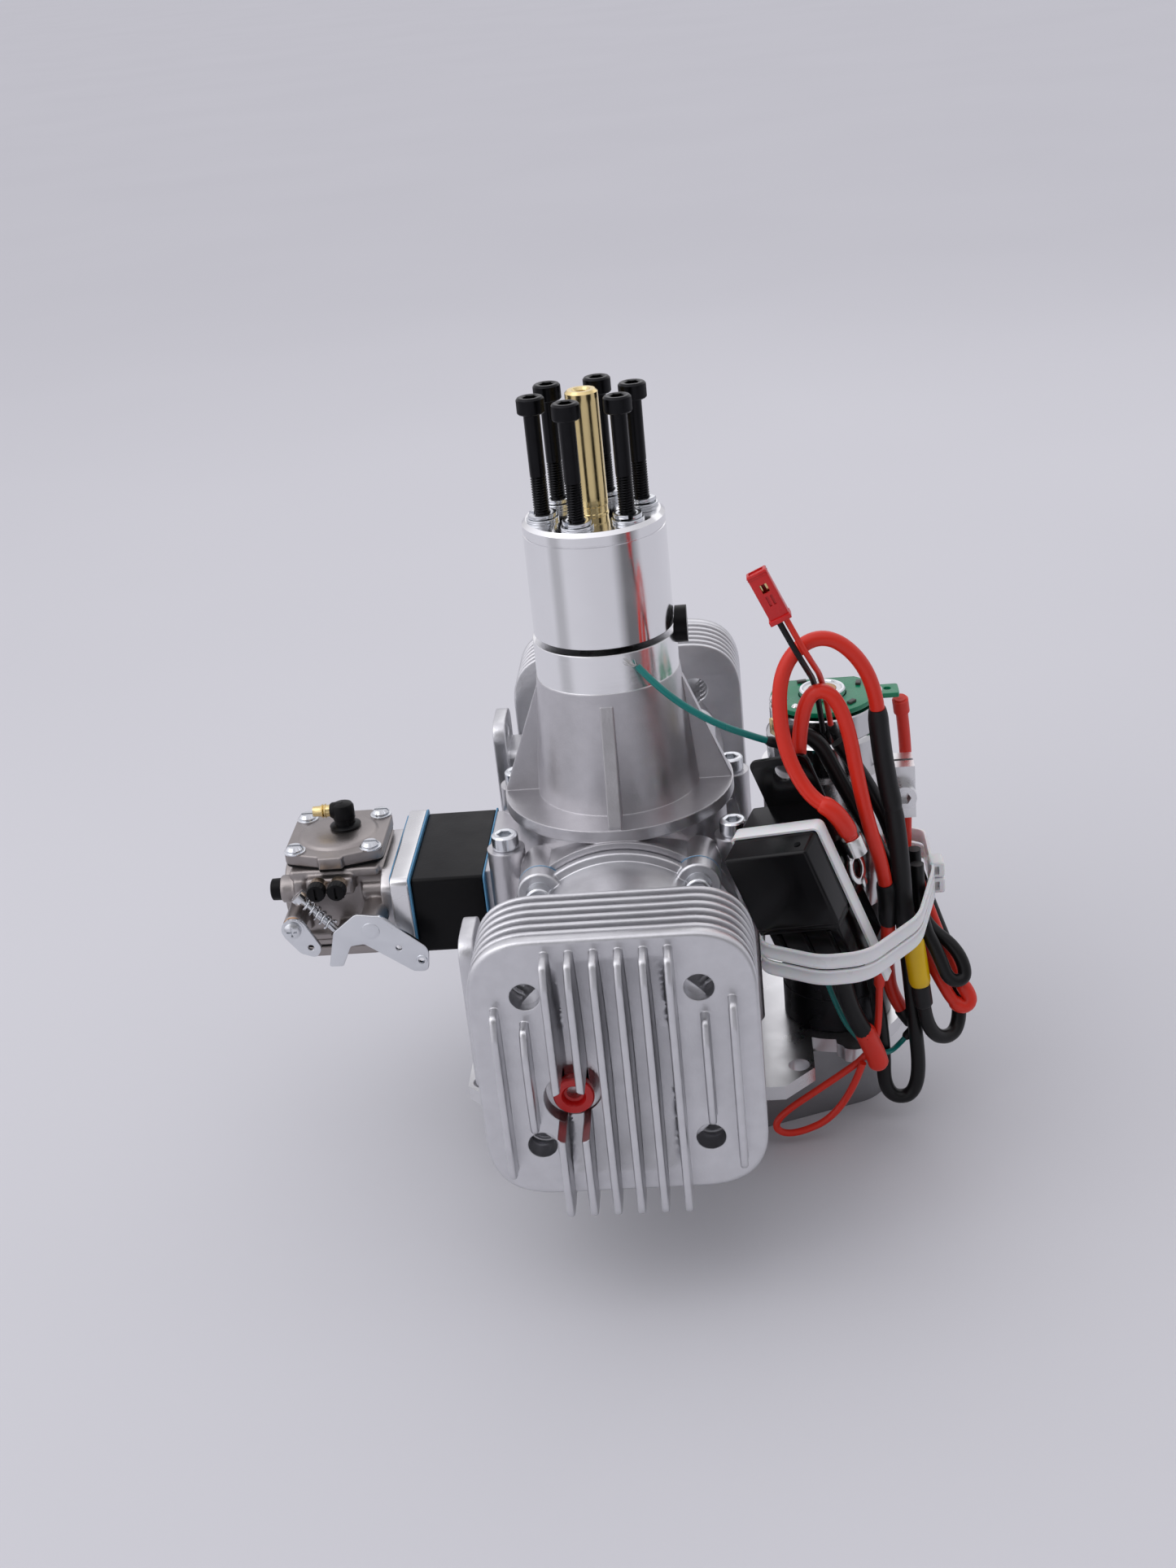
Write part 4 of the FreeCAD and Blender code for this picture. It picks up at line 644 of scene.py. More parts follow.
def cap_screw(base, axis, length, threads=None):
    """A knurled M5 socket cap screw: base is under the head, axis points out of the head."""
    head_r, head_h, shank_r = 4.25, 5.0, 2.5
    flats = head_r * 0.94
    rings = [(-length, shank_r - 0.5), (-length + 0.5, shank_r - 0.05)]
    if threads:
        rings += thread_rings(*threads, shank_r, THREAD_PITCH)
        rings.append((threads[1] + 0.3, shank_r - 0.03))
    rings += [(-0.2, shank_r), (0, shank_r + 0.2), (0, head_r - 0.35), (0.35, head_r - 0.05),
              (0.5, knurl_reach(head_r)), (head_h - 0.75, knurl_reach(head_r)), (head_h - 0.6, head_r - 0.06),
              (head_h - 0.1, head_r - 0.5), (head_h, head_r - 0.75), (head_h, flats * 0.5 + 0.75),
              (head_h - 0.25, hex_reach(flats)), (head_h * 0.42, hex_reach(flats))]
    return turned(rings, base, axis, 72)


def slotted_screw(base, axis, radius, height):
    head = turned([(0, radius), (height * 0.55, radius), (height, radius * 0.72)], base, axis, 40)
    slot = box((-radius - 1, radius + 1), (-0.4, 0.4), (height - 0.9, height + 1), 0)
    return cut(head, [moved(slot, frame_on(base, axis))])


# ---------- Cylinders ----------

# In cylinder coordinates Z runs out along the bore from the crank's axis.
SEAT, HEAD_INNER, HEAD_FACE, FIN_TIP, SHORT_TIP = 38.5, 101.0, 105.0, 115.0, 112.5
HEAD_X, HEAD_Z, HEAD_CORNER = 41.0, 42.5, 19.0
FIN_START, FIN_PITCH, FIN_THICK, FIN_COUNT = 77.0, 4.3, 1.8, 6
HEAD_FIN_XS = [-17.7 + 6.9 * index for index in range(6)]
HOLD_DOWN = [(sx * 24.5, sz * 25.0) for sx in (-1, 1) for sz in (-1, 1)]
PLUG_AT = (-14.0, -9.5)
ACCESS_R, BORE_R, BARREL_R, SPIGOT_R, PORT_AT = 4.3, 24.9, 33.4, 26.95, 64.0
# The bowl between the upright fins: its depth, half height, inset from the outer fins and the ramp beside them.
VALLEY_DEPTH, VALLEY_HALF, VALLEY_INSET, VALLEY_RAMP = 6.0, 36.0, 0.6, 1.2
SIDES = {
    "a": Matrix(((1, 0, 0, 0), (0, 0, -1, 0), (0, 1, 0, AXIS_A), (0, 0, 0, 1))),
    "b": Matrix(((1, 0, 0, 0), (0, 0, 1, 0), (0, -1, 0, AXIS_B), (0, 0, 0, 1))),
}


def head_depth(x, z):
    """How far the valleys between the head's upright fins sink below its face."""
    edge = min(x - (HEAD_FIN_XS[0] + VALLEY_INSET), HEAD_FIN_XS[-1] - VALLEY_INSET - x)
    share = max(0.0, min(1.0, edge / VALLEY_RAMP))
    bowl = max(0.0, 1 - (z / VALLEY_HALF) ** 2)
    return VALLEY_DEPTH * share * share * (3 - 2 * share) * bowl


def fin_loop():
    return box_loop(HEAD_X, HEAD_Z, HEAD_CORNER, steps=14)


def head_plate():
    """The head's outer plate, with 48 rings across its face that dip into the valleys."""
    outline = spaced([point.to_3d() for point in fin_loop()], 2.0, closed=True)

    def ring(shrink, level):
        scale_x, scale_z = (HEAD_X - shrink) / HEAD_X, (HEAD_Z - shrink) / HEAD_Z
        points = []
        for point in outline:
            x, z = point.x * scale_x, point.y * scale_z
            points.append(Vector((x, z, level if level is not None else HEAD_FACE - head_depth(x, z))))
        return points

    rings = [ring(12.0, 97.5), ring(9.0, HEAD_INNER), ring(0.7, HEAD_INNER), ring(0.15, HEAD_INNER + 0.3),
             ring(0.0, HEAD_INNER + 0.8), ring(0.0, HEAD_FACE - 1.1), ring(0.3, HEAD_FACE - 0.4),
             ring(0.9, HEAD_FACE - 0.05), ring(1.4, HEAD_FACE)]
    rings += [ring(1.4 + step * 0.8, None) for step in range(1, 49)]
    return skinned(rings)


def head_fin(x, low, high, tip=FIN_TIP):
    """One upright fin with a crest that falls away at both ends."""
    base = HEAD_FACE - 8.0
    corners = [(low + 1.0, base, 0), (low - 0.4, HEAD_FACE, 1.5), (low - 0.2, tip - 1.0, 4.0),
               (low + 12.0, tip, 9.0), (high - 7.0, tip, 6.0), (high, tip - 2.2, 2.4),
               (high + 0.2, HEAD_FACE, 0.8), (high - 0.5, base, 0)]
    blade = plate([rounded_loop(corners, 1.0)], -1.15, 1.15, 0.85, 3)
    return moved(blade, Matrix(((0, 0, 1, x), (1, 0, 0, 0), (0, 1, 0, 0), (0, 0, 0, 1))))


def cylinder_shapes():
    """The finned head, and the barrel with its base, in cylinder coordinates."""
    holes = [turned([(FIN_START - 3, ACCESS_R), (FIN_TIP + 5, ACCESS_R)], (x, z, 0), Z, 40) for x, z in HOLD_DOWN]
    holes.append(turned([(99.0, 7.6), (99.3, 8.2), (103.5, 8.6), (FIN_TIP + 5, 8.8)], (*PLUG_AT, 0)))
    blades = [head_fin(x, -45.5, 39.0) for x in HEAD_FIN_XS]
    blades += [head_fin(side * 33.5, -33.0, 22.0, SHORT_TIP) for side in (-1, 1)]
    blades += [head_fin(side * 25.5, -17.5, 17.0, SHORT_TIP) for side in (-1, 1)]
    trimmed = [cut(blade, holes) for blade in blades]
    top = cut(head_plate(), holes)
    fins = []
    for index in range(FIN_COUNT):
        low = FIN_START + index * FIN_PITCH
        loops = [fin_loop(), circle_loop((0, 0), 31.0, 72)] + [circle_loop(at, ACCESS_R) for at in HOLD_DOWN]
        fins.append(plate(loops, low, low + FIN_THICK, 0.6))
    barrel = turned([(SEAT, BARREL_R), (76.0, BARREL_R), (HEAD_INNER + 0.5, BARREL_R), (HEAD_INNER + 0.5, 29.0),
                     (95.5, 9.0), (90.0, BORE_R), (31.0, BORE_R), (31.0, SPIGOT_R), (SEAT, SPIGOT_R)],
                    (0, 0, 0), Z, 96, True)
    base = [turned([(SEAT, 7.0), (SEAT + 5.0, 7.0), (SEAT + 5.5, 6.5)], (x, z, 0), Z, 32) for x, z in HOLD_DOWN]
    collar = plate([circle_loop((0, 0), 36.0, 72), circle_loop((0, 0), 30.0, 72)], SEAT, SEAT + 3.0, 0.5)
    return joined([top] + trimmed + fins), joined([barrel, collar] + base)


def exhaust_port():
    """The exhaust stub and its flange on the carburettor's side."""
    port = box_loop(11.0, 6.0, 2.5)
    flange = plate([box_loop(26.0, 11.0, 7.0), port] + [circle_loop((at, 0), 2.1) for at in (-19.5, 19.5)],
                   42.5, 47.0, 0.5)
    stub = plate([box_loop(15.0, 9.0, 3.0), port], 27.0, 43.0, 0.3)
    return moved(joined([flange, stub]), Matrix(((0, 0, -1, 0), (1, 0, 0, 0), (0, 1, 0, PORT_AT), (0, 0, 0, 1))))


def build_cylinders():
    """Both cylinders from one set of shapes, with their screws and the red rings in the plug wells."""
    head, barrel = cylinder_shapes()
    port = exhaust_port()
    for side, matrix in SIDES.items():
        place_piece("cylinder_head_" + side, moved(head, matrix), "cast", "cylinder_" + side, sharp=50.0)
        place_piece("cylinder_barrel_" + side, moved(joined([barrel, port]), matrix), "cast")
    screws = [cap_screw(matrix @ Vector((x, z, SEAT + 5.5)), matrix.to_3x3() @ Z, 16.0)
              for matrix in SIDES.values() for x, z in HOLD_DOWN]
    place_piece("hold_down_screws", joined(screws), "zinc", "cylinder_screws")
    ring = turned([(97.2, 4.3), (97.4, 4.8), (101.5, 4.9), (101.5, 5.4), (101.9, 5.9), (103.6, 6.0), (104.1, 5.6),
                   (104.1, 3.6), (103.5, 3.1), (102.0, 2.9), (101.8, 2.2), (98.0, 2.2)], (*PLUG_AT, 0))
    place_piece("plug_hole_caps", joined([moved(ring, matrix) for matrix in SIDES.values()]), "red", "plug_caps")


build_cylinders()


# ---------- Propeller hub hardware ----------

BOLT_CIRCLE, BOLT_PHASE, BOLT_TOP, BOLT_LOW, HUB_TOP = 15.6, 15.5, 225.0, 176.2, 187.0
THREAD_LOW, THREAD_HIGH, THREAD_PITCH = 190, 201, 0.8
SPRING_R, SPRING_TURN, SPRING_STEPS = 3.55, 0.95, 44


def build_hub_hardware():
    """Six long screws on the bolt circle with flat and spring washers, round the hollow centre stud."""
    seat = BOLT_TOP - 5.0
    turns = [math.radians(BOLT_PHASE + 60 * index) for index in range(6)]
    points = [(BOLT_CIRCLE * math.cos(turn), BOLT_CIRCLE * math.sin(turn)) for turn in turns]
    threads = (THREAD_LOW - seat, THREAD_HIGH - seat)
    bolts = [cap_screw((x, y, seat), Z, seat - BOLT_LOW, threads) for x, y in points]
    place_piece("propeller_bolts", joined(bolts), "black_steel", "prop_bolts", "crank")
    flats, springs = [], []
    section = box_loop(0.6, 0.85, 0.2, steps=2)
    for index, (x, y) in enumerate(points):
        flats.append(plate([circle_loop((x, y), 5.0, 40), circle_loop((x, y), 2.7)], HUB_TOP, HUB_TOP + 1.0, 0.2))
        path = []
        for step in range(SPRING_STEPS + 1):
            turn = math.tau * (0.02 + SPRING_TURN * step / SPRING_STEPS) + index
            path.append(Vector((x + SPRING_R * math.cos(turn), y + SPRING_R * math.sin(turn),
                                HUB_TOP + 1.65 + 0.5 * step / SPRING_STEPS)))
        springs.append(swept(path, lambda step: section))
    place_piece("bolt_washers", joined(flats + springs), "zinc", "hub_washers", "crank")
    rim = [(178.0, 4.6), (178.4, 5.0), (HUB_TOP + 0.4, 5.0), (HUB_TOP + 0.6, 4.8), (HUB_TOP + 2.6, 4.8),
           (HUB_TOP + 2.8, 5.0), (BOLT_TOP - 0.8, 5.0), (BOLT_TOP, 4.2), (BOLT_TOP, 2.9), (BOLT_TOP - 0.8, 2.15)]
    hole = [(BOLT_TOP - 0.8 - height, reach) for height, reach in thread_rings(0, 12.0, 2.3, THREAD_PITCH)]
    place_piece("centre_stud", turned(rim + hole), "brass", "prop_stud", "crank")


build_hub_hardware()


# ---------- Crankcase screws ----------

LUG_X, LUG_Y, LUG_TOP, LUG_LOW = 36.0, 24.0, 87.0, 30.0
place_piece("case_screws", joined([cap_screw((sx * LUG_X, sy * LUG_Y, LUG_TOP), Z, LUG_TOP - LUG_LOW)
                                   for sx in (-1, 1) for sy in (-1, 1)]), "zinc", "crankcase_screws")


# ---------- Relay and ties ----------

RELAY_TOP = Vector((49.7, -43.5, 97.1))
RELAY_TURNS = ((-24.8, "Z"), (-15.3, "Y"), (11.8, "X"))
RELAY_FRAME = Matrix.Translation(RELAY_TOP)
for degrees, about in RELAY_TURNS:
    RELAY_FRAME = RELAY_FRAME @ Matrix.Rotation(math.radians(degrees), 4, about)
RELAY_W, RELAY_D, RELAY_H, SOCKET_H = 14.0, 13.75, 28.0, 22.0
TIE_THICK, TIE_WIDTH = 1.1, 4.8
TIE_LEVELS, TIE_STEP, TIE_RIB, HOOP_GAP, HOOP_EDGE = (52.6, 58.2), 0.62, 0.16, 0.55, -3.6
# Corners of the line the ties follow round the relay, leads and motor: x, y and the corner's radius.
BUNDLE_OUTLINE = ((43.0, -52.0, 6.0), (60.0, -61.5, 14.0), (73.5, -60.5, 14.0), (91.0, -40.0, 22.0),
                  (98.5, -10.0, 18.0), (98.5, 17.0, 4.0), (86.0, 25.0, 6.0), (57.0, 24.5, 6.0),
                  (48.2, 13.0, 5.0), (48.2, 0.0, 4.0), (44.0, -24.0, 5.0))


def build_relay():
    """A cube relay on its socket, with a mounting tab behind it."""
    def block(inset, low, high, *easing):
        half_w, half_d = RELAY_W - inset, RELAY_D - inset
        return box((-half_w, half_w), (-half_d, half_d), (low, high), *easing)

    body = block(0, -RELAY_H, 0, 1.1, 4)
    vent = turned([(0, 1.0), (0.5, 1.0)], (RELAY_W - 4, -RELAY_D + 4, -0.2), Z, 24)
    rim = block(0.35, -RELAY_H - 1.6, -RELAY_H + 1, 0.3)
    socket = block(2.0, -RELAY_H - SOCKET_H, -RELAY_H, 0.8, 3)
    ribs = [box((x - 0.8, x + 0.8), (-RELAY_D + 1.5, -RELAY_D + 3), (-RELAY_H - SOCKET_H + 2, -RELAY_H - 3), 0.3)
            for x in (-8.5, 0.0, 8.5)]
    tab = plate([rounded_loop([(-8, -2, 0), (12, -2, 0), (12, 17, 3.0), (-8, 17, 3.0)], 3.0),
                 circle_loop((2.0, 11.5), 2.8)], 0, 1.5, 0.3)
    upright = Matrix(((1, 0, 0, 0), (0, 0, -1, RELAY_D), (0, 1, 0, 0), (0, 0, 0, 1)))
    shape = joined([body, vent, rim, socket, moved(tab, upright)] + ribs)
    place_piece("relay_case", moved(shape, RELAY_FRAME), "relay", "relay")


def tie_band(path, closed, up):
    """A ribbed tie along a path: across is its width, out its thickness."""
    half, top = TIE_WIDTH / 2, TIE_THICK / 2

    def section(index):
        rib = TIE_RIB if index % 2 else 0.0
        return [(-half, -top + 0.2), (-half + 0.25, -top), (half - 0.25, -top), (half, -top + 0.2),
                (half, top - 0.15), (half - 0.3, top), (half - 0.9, top - 0.02), (half - 1.1, top - 0.25 + rib),
                (-half + 1.1, top - 0.25 + rib), (-half + 0.9, top - 0.02), (-half + 0.3, top), (-half, top - 0.15)]

    return swept(path, section, up, closed)


def build_ties():
    """Two ties round the bundle, each with its head, and a hoop over the relay."""
    shapes = []
    line = spaced([point.to_3d() for point in rounded_loop(BUNDLE_OUTLINE, 4.0, 8)], TIE_STEP, closed=True)
    for low in TIE_LEVELS:
        path = [point + along.cross(Z) * (TIE_THICK / 2) + Z * (low + TIE_WIDTH / 2)
                for point, along in zip(line, directions(line, True))]
        shapes.append(tie_band(path, True, Z))
        head = box((98.1, 103.0), (-8.0, -0.5), (low - 0.3, low + TIE_WIDTH + 0.3), 0.9, 4)
        window = box((99.6, 101.2), (-9.0, 0.5), (low + 0.8, low + TIE_WIDTH - 0.8), 0)
        shapes.append(cut(head, [window]))
    depth = -(RELAY_H + SOCKET_H)
    middle = HOOP_EDGE + TIE_WIDTH / 2
    right, left, under = RELAY_W + HOOP_GAP, -RELAY_W - HOOP_GAP, depth - HOOP_GAP
    hoop = [(right, depth - 9.0, 0), (right, HOOP_GAP, 1.6), (left, HOOP_GAP, 1.6), (left, under, 1.6),
            (RELAY_W - 1.0, under, 0)]
    line = [Vector((point.x, middle, point.y)) for point in rounded_loop(hoop, 1.6)]
    band = tie_band(spaced(line, TIE_STEP), False, Y)
    lock = box((RELAY_W - 4.0, RELAY_W + 1.4), (middle - 3.5, middle + 3.5), (depth - 5.0, depth - 0.1), 0.5, 3)
    shapes += [moved(band, RELAY_FRAME), moved(lock, RELAY_FRAME)]
    place_piece("cable_ties", joined(shapes), "nylon", "zip_ties", sharp=50.0)


build_relay()
build_ties()


# ---------- Starter motor and its board ----------

MOTOR_REACH = 67.0
GEAR_LINE = math.atan2(4.0, MOTOR_REACH)
MOTOR = Vector((MOTOR_REACH * math.cos(GEAR_LINE), MOTOR_REACH * math.sin(GEAR_LINE), 0))
GEARBOX_LOW, GEARBOX_R, GROOVE_R, CAN_R, CAN_LOW, CAN_HIGH = 5.0, 18.0, 17.7, 18.5, 50.0, 110.0
BOARD_LOW, BOARD_THICK = 119.0, 1.6


def build_motor():
    """The can over its gearbox, with two grooves round the gearbox and two notches in the can's end."""
    profile = [(0, GEARBOX_R - 0.4), (0.4, GEARBOX_R)]
    for groove in (12.0, 30.0):
        profile += [(groove, GEARBOX_R), (groove + 0.2, GROOVE_R),
                    (groove + 0.8, GROOVE_R), (groove + 1.0, GEARBOX_R)]
    gearbox = turned(profile + [(45.0, GEARBOX_R)], MOTOR + Z * GEARBOX_LOW, Z, 96)
    screws = [slotted_screw(MOTOR + Vector((side * 14.5, 0, CAN_HIGH + 8.0)), Z, 1.6, 0.9) for side in (1, -1)]
    can = turned([(CAN_LOW, 17.8), (CAN_LOW + 0.5, CAN_R), (CAN_HIGH - 1.2, CAN_R), (CAN_HIGH - 0.2, CAN_R - 0.9),
                  (CAN_HIGH, CAN_R - 1.5), (CAN_HIGH + 7.6, 17.0), (CAN_HIGH + 8.0, 16.6), (CAN_HIGH + 8.0, 7.2),
                  (CAN_HIGH + 11.6, 7.0), (CAN_HIGH + 12.2, 6.4), (CAN_HIGH + 12.2, 4.6)], MOTOR, Z, 96)
    notch = box((13.0, 20.0), (-4.0, 4.0), (CAN_HIGH - 8.0, CAN_HIGH + 5.0), 0)
    notches = [moved(notch, spun(angle, "Z", MOTOR)) for angle in (40, 220)]
    place_piece("motor_can", cut(can, notches), "can", "starter_motor")
    place_piece("motor_gearbox", gearbox, "black_can")
    place_piece("motor_end_screws", joined(screws), "zinc")
    bush = turned([(CAN_HIGH + 12.3, 4.5), (CAN_HIGH + 12.3, 4.4), (CAN_HIGH + 12.6, 3.0), (CAN_HIGH + 12.4, 1.6)],
                  MOTOR, Z, 40)
    place_piece("motor_bush", bush, "bronze")
    brush = box((-3.2, 3.2), (14.6, 18.4), (CAN_HIGH + 0.6, CAN_HIGH + 6.0), 0.4)
    place_piece("motor_brush_holder", moved(brush, spun(120, "Z", MOTOR)), "brass")


def build_board():
    """The suppressor board on the motor's end: chips, solder pads, and a bush in a ring."""
    loop = [point for point in circle_loop((0, 0), 16.5, 96) if point.y < 12.5]
    outline = rounded_loop([(point.x, point.y, 0) for point in loop], 0)
    shape = plate([outline, circle_loop((0, 0), 7.6, 64)], BOARD_LOW, BOARD_LOW + BOARD_THICK, 0.12, 1)
    tab = plate([rounded_loop([(9, -4), (24, -4), (24, 4), (9, 4)], 1.2), circle_loop((20.5, 0.4), 1.2)],
                BOARD_LOW + 0.02, BOARD_LOW + 1.58, 0.12, 1)
    place_piece("suppressor_board", moved(joined([shape, tab]), Matrix.Translation(MOTOR)), "board", "motor_board")
    top = BOARD_LOW + BOARD_THICK
    chip = box((-1.5, 1.5), (-0.8, 0.8), (top, top + 0.9), 0.15)
    chips = [moved(chip, spun(turn, "Z", MOTOR + Vector((x, y, 0))))
             for x, y, turn in ((4.0, -11.0, 20), (8.6, -9.6, 50), (11.8, 5.8, 80), (-6.0, 9.8, 10))]
    place_piece("board_chips", joined(chips), "chip")
    pads = [turned(profile, MOTOR + Vector((x, y, top - 0.05)), Z, count) for x, y, count, profile in (
        (16.5, 0, 24, [(0, 2.6), (0.5, 2.4), (1.2, 1.6), (1.7, 0.6)]),
        (-14.0, -2.5, 24, [(0, 3.0), (0.7, 2.8), (1.6, 2.0), (2.2, 0.7)]),
        (-9.0, -9.5, 20, [(0, 1.3), (0.5, 1.0), (0.9, 0.4)]))]
    place_piece("board_solder", joined(pads), "tin")
    ring = turned([(BOARD_LOW - 0.6, 7.3), (top + 1.6, 7.3), (top + 2.0, 7.0), (top + 2.0, 6.3), (top + 1.6, 6.0),
                   (BOARD_LOW - 0.6, 6.0)], MOTOR, Z, 64, True)
    place_piece("board_ring", ring, "zinc")
    centre = turned([(top - 1.0, 5.9), (top + 0.7, 5.9), (top + 0.9, 5.6), (top + 0.9, 2.6), (top + 1.6, 2.3),
                     (top + 1.7, 1.9)], MOTOR)
    place_piece("board_centre", centre, "bronze")


build_motor()
build_board()


# ---------- Carburettor and intake ----------

INTAKE_Z = 64.5
CARB_TOP, CARB_BOTTOM, CARB_LEFT, FLANGE_LEFT, FLANGE_RIGHT = 79.0, 53.0, -113.0, -79.0, -75.0
THROTTLE_X, CHOKE_X, THROTTLE_Y, CHOKE_Y = -81.5, -107.5, -32.0, -28.0
IDLE_HEAD, IDLE_AXIS = Vector((-104.5, -22.5, 72.0)), Vector((0.63, 0.0, -0.776))
NEEDLE_XS = {"high_needle": -92.0, "low_needle": -98.6}
NEEDLE_Z, SHAFTS_FROM, CARB_BORE_R, COVER_X, BODY_X = 76.0, -12.0, 10.0, -94.5, -95.0
TOWARDS_X = Matrix(((0, 0, 1, 0), (1, 0, 0, 0), (0, 1, 0, INTAKE_Z), (0, 0, 0, 1)))


def build_intake():
    """The black insulator, the adapter and the blue gaskets between them, seen edge on."""
    bore = circle_loop((0, 0), 10.5, 48)
    block = plate([box_loop(25.0, 13.25, 1.6), bore], -68.0, -44.5, 0.7, 3)
    place_piece("intake_insulator", moved(block, TOWARDS_X), "black", "insulator_block")
    spacer = plate([box_loop(27.0, 14.5, 3.0), bore], -74.5, -68.5, 0.6, 3)
    place_piece("intake_adapter", moved(spacer, TOWARDS_X), "plate", "carb_adapter")
    sheets = []
    for low, half_y, half_z in ((-44.5, 25.6, 13.8), (-68.5, 26.6, 14.4), (-75.0, 24.0, 13.8)):
        sheets.append(moved(plate([box_loop(half_y, half_z, 2.0), bore], low, low + 0.5, 0.08, 1), TOWARDS_X))
    place_piece("gasket_sheets", joined(sheets), "gasket", "intake_gaskets")


def carb_casting():
    """The body, its flanges, throat and bosses as one casting with the bore cut through it."""
    middle = (0, 0, INTAKE_Z)
    solids = [
        box((-108.0, -78.0), (-14.5, 14.5), (CARB_BOTTOM, CARB_TOP - 1), 1.2),
        box((-109.0, -79.5), (-16.5, 16.5), (75.8, CARB_TOP), 0.8),
        box((-109.0, -80.5), (-16.0, 16.0), (CARB_BOTTOM, 56.0), 0.8),
        turned([(-110.0, 12.6), (-78.0, 12.6)], middle, X, 64),
        turned([(CARB_LEFT, 10.9), (CARB_LEFT + 0.5, 11.5), (-108.0, 11.5)], middle, X, 64),
        box((-103.0, -87.6), (-20.2, -12.0), (71.5, 77.5), 0.9),
        turned([(CARB_LEFT, 4.2), (CARB_LEFT + 0.4, 4.6), (-104.0, 4.6)], (0, -12.0, 71.0), X, 40),
        turned([(-86.0, 3.3), (-77.5, 3.3)], (0, -14.0, 70.0), X, 32),
        turned([(0, 4.4), (SHAFTS_FROM - THROTTLE_Y - 1.2, 4.4)], (THROTTLE_X, SHAFTS_FROM, INTAKE_Z), -Y, 40),
        turned([(0, 3.7), (SHAFTS_FROM - CHOKE_Y - 1.2, 3.7)], (CHOKE_X, SHAFTS_FROM, INTAKE_Z), -Y, 40),
        turned([(0, 2.8), (5.0, 2.8)], IDLE_HEAD + IDLE_AXIS * 15.0, IDLE_AXIS, 32),
        box((-95.0, -90.0), (-22.0, -13.0), (55.5, 60.0), 0.6),
        box((-108.0, -104.0), (-17.5, -12.0), (58.0, 76.0), 0.7),
    ]
    bore = turned([(CARB_LEFT - 2, CARB_BORE_R), (-70.0, CARB_BORE_R)], middle, X, 64)
    return cut(cast_skin(joined(solids), 0.42, 4), [bore])


def carb_flange():
    ears = rounded_loop([(-21.0, -9), (-14.0, -13), (14.0, -13), (21.0, -9), (21.0, 9), (14.0, 13), (-14.0, 13),
                         (-21.0, 9)], 3.0)
    return moved(plate([ears, circle_loop((0, 0), CARB_BORE_R, 48)], FLANGE_LEFT, FLANGE_RIGHT, 0.5), TOWARDS_X)


COVER_SCREWS = [(COVER_X + sx * 12.5, 1.0 + sy * 12.0) for sx in (-1, 1) for sy in (-1, 1)]


def build_carb():
    """The casting and its flange, the covers above and below it, their seals, and the cover's screws."""
    place_piece("carb_casting", carb_casting(), "carb_zinc", "carb_body", sharp=60.0)
    place_piece("carb_mount_flange", carb_flange(), "carb_light")
    outline = rounded_loop([(-110.8, -12, 3.5), (-99.0, -16.0, 0.6), (-98.4, -17.8, 0.7), (-90.8, -17.8, 0.7),
                            (-90.2, -16.0, 0.6), (-78.2, -12, 3.5), (-78.2, 14, 3.5), (-86, 18, 2), (-103, 18, 2),
                            (-110.8, 14, 3.5)], 2.0)
    cover = plate([outline], CARB_TOP + 0.8, CARB_TOP + 4.8, 0.5, 3)
    crown = turned([(0, 13.2), (0.7, 12.6), (1.0, 11.8), (1.05, 7.0)], (COVER_X, 1.0, CARB_TOP + 4.7), Z, 64)
    under = plate([box_loop(14.0, 16.0, 4.0, (BODY_X, 0))], CARB_BOTTOM - 6.0, CARB_BOTTOM - 2.4, 0.7, 3)
    middle = plate([box_loop(14.2, 15.8, 3.0, (BODY_X, 0))], CARB_BOTTOM - 1.8, CARB_BOTTOM + 0.3, 0.4)
    place_piece("pump_cover_casting", joined([cover, crown, under, middle]), "carb_zinc", "pump_cover")
    shrunk = [((point.x - COVER_X) * 0.985 + COVER_X, point.y * 0.985) for point in outline]
    seals = [plate([shrunk], CARB_TOP, CARB_TOP + 0.8, 0.1, 1),
             plate([box_loop(13.8, 15.6, 3.0, (BODY_X, 0))], CARB_BOTTOM - 2.5, CARB_BOTTOM - 1.7, 0.1, 1)]
    place_piece("carb_seals", joined(seals), "black")
    screws = [slotted_screw((x, y, CARB_TOP + 4.8), Z, 2.9, 2.2) for x, y in COVER_SCREWS]
    rings = [plate([circle_loop(at, 3.6), circle_loop(at, 1.6)], CARB_TOP + 4.75, CARB_TOP + 5.4, 0.15)
             for at in COVER_SCREWS]
    place_piece("cover_screws", joined(screws + rings), "zinc", "carb_screws")


def build_fuel_fittings():
    """The elbow on the cover with its brass pipe, and the plug beside the air inlet."""
    at = Vector((-92.5, 4.0, CARB_TOP + 5.6))
    stem = turned([(0, 5.0), (0.9, 5.2), (1.3, 4.6), (1.6, 3.5), (3.2, 3.4), (3.4, 3.7), (7.6, 3.7), (8.4, 3.2),
                   (8.9, 2.0)], at, Z, 40)
    arm = turned([(0, 2.9), (3.6, 2.7), (4.2, 2.3)], at + Z * 6.2, -X, 32)
    plug = turned([(0, 3.0), (0.4, 3.6), (2.6, 3.7), (3.5, 3.7)], (CARB_LEFT - 3.5, -12.0, 71.0), X, 32)
    place_piece("fuel_elbow_body", joined([stem, arm, plug]), "black", "fuel_elbow")
    pipe = turned([(0, 2.0), (5.6, 2.0), (5.7, 2.45), (6.6, 1.9), (6.7, 2.4), (7.6, 1.8), (10.0, 1.7), (10.0, 1.0),
                   (0, 1.0)], at + Z * 6.2, -X, 32, True)
    place_piece("fuel_pipe", pipe, "brass", "fuel_nipple")


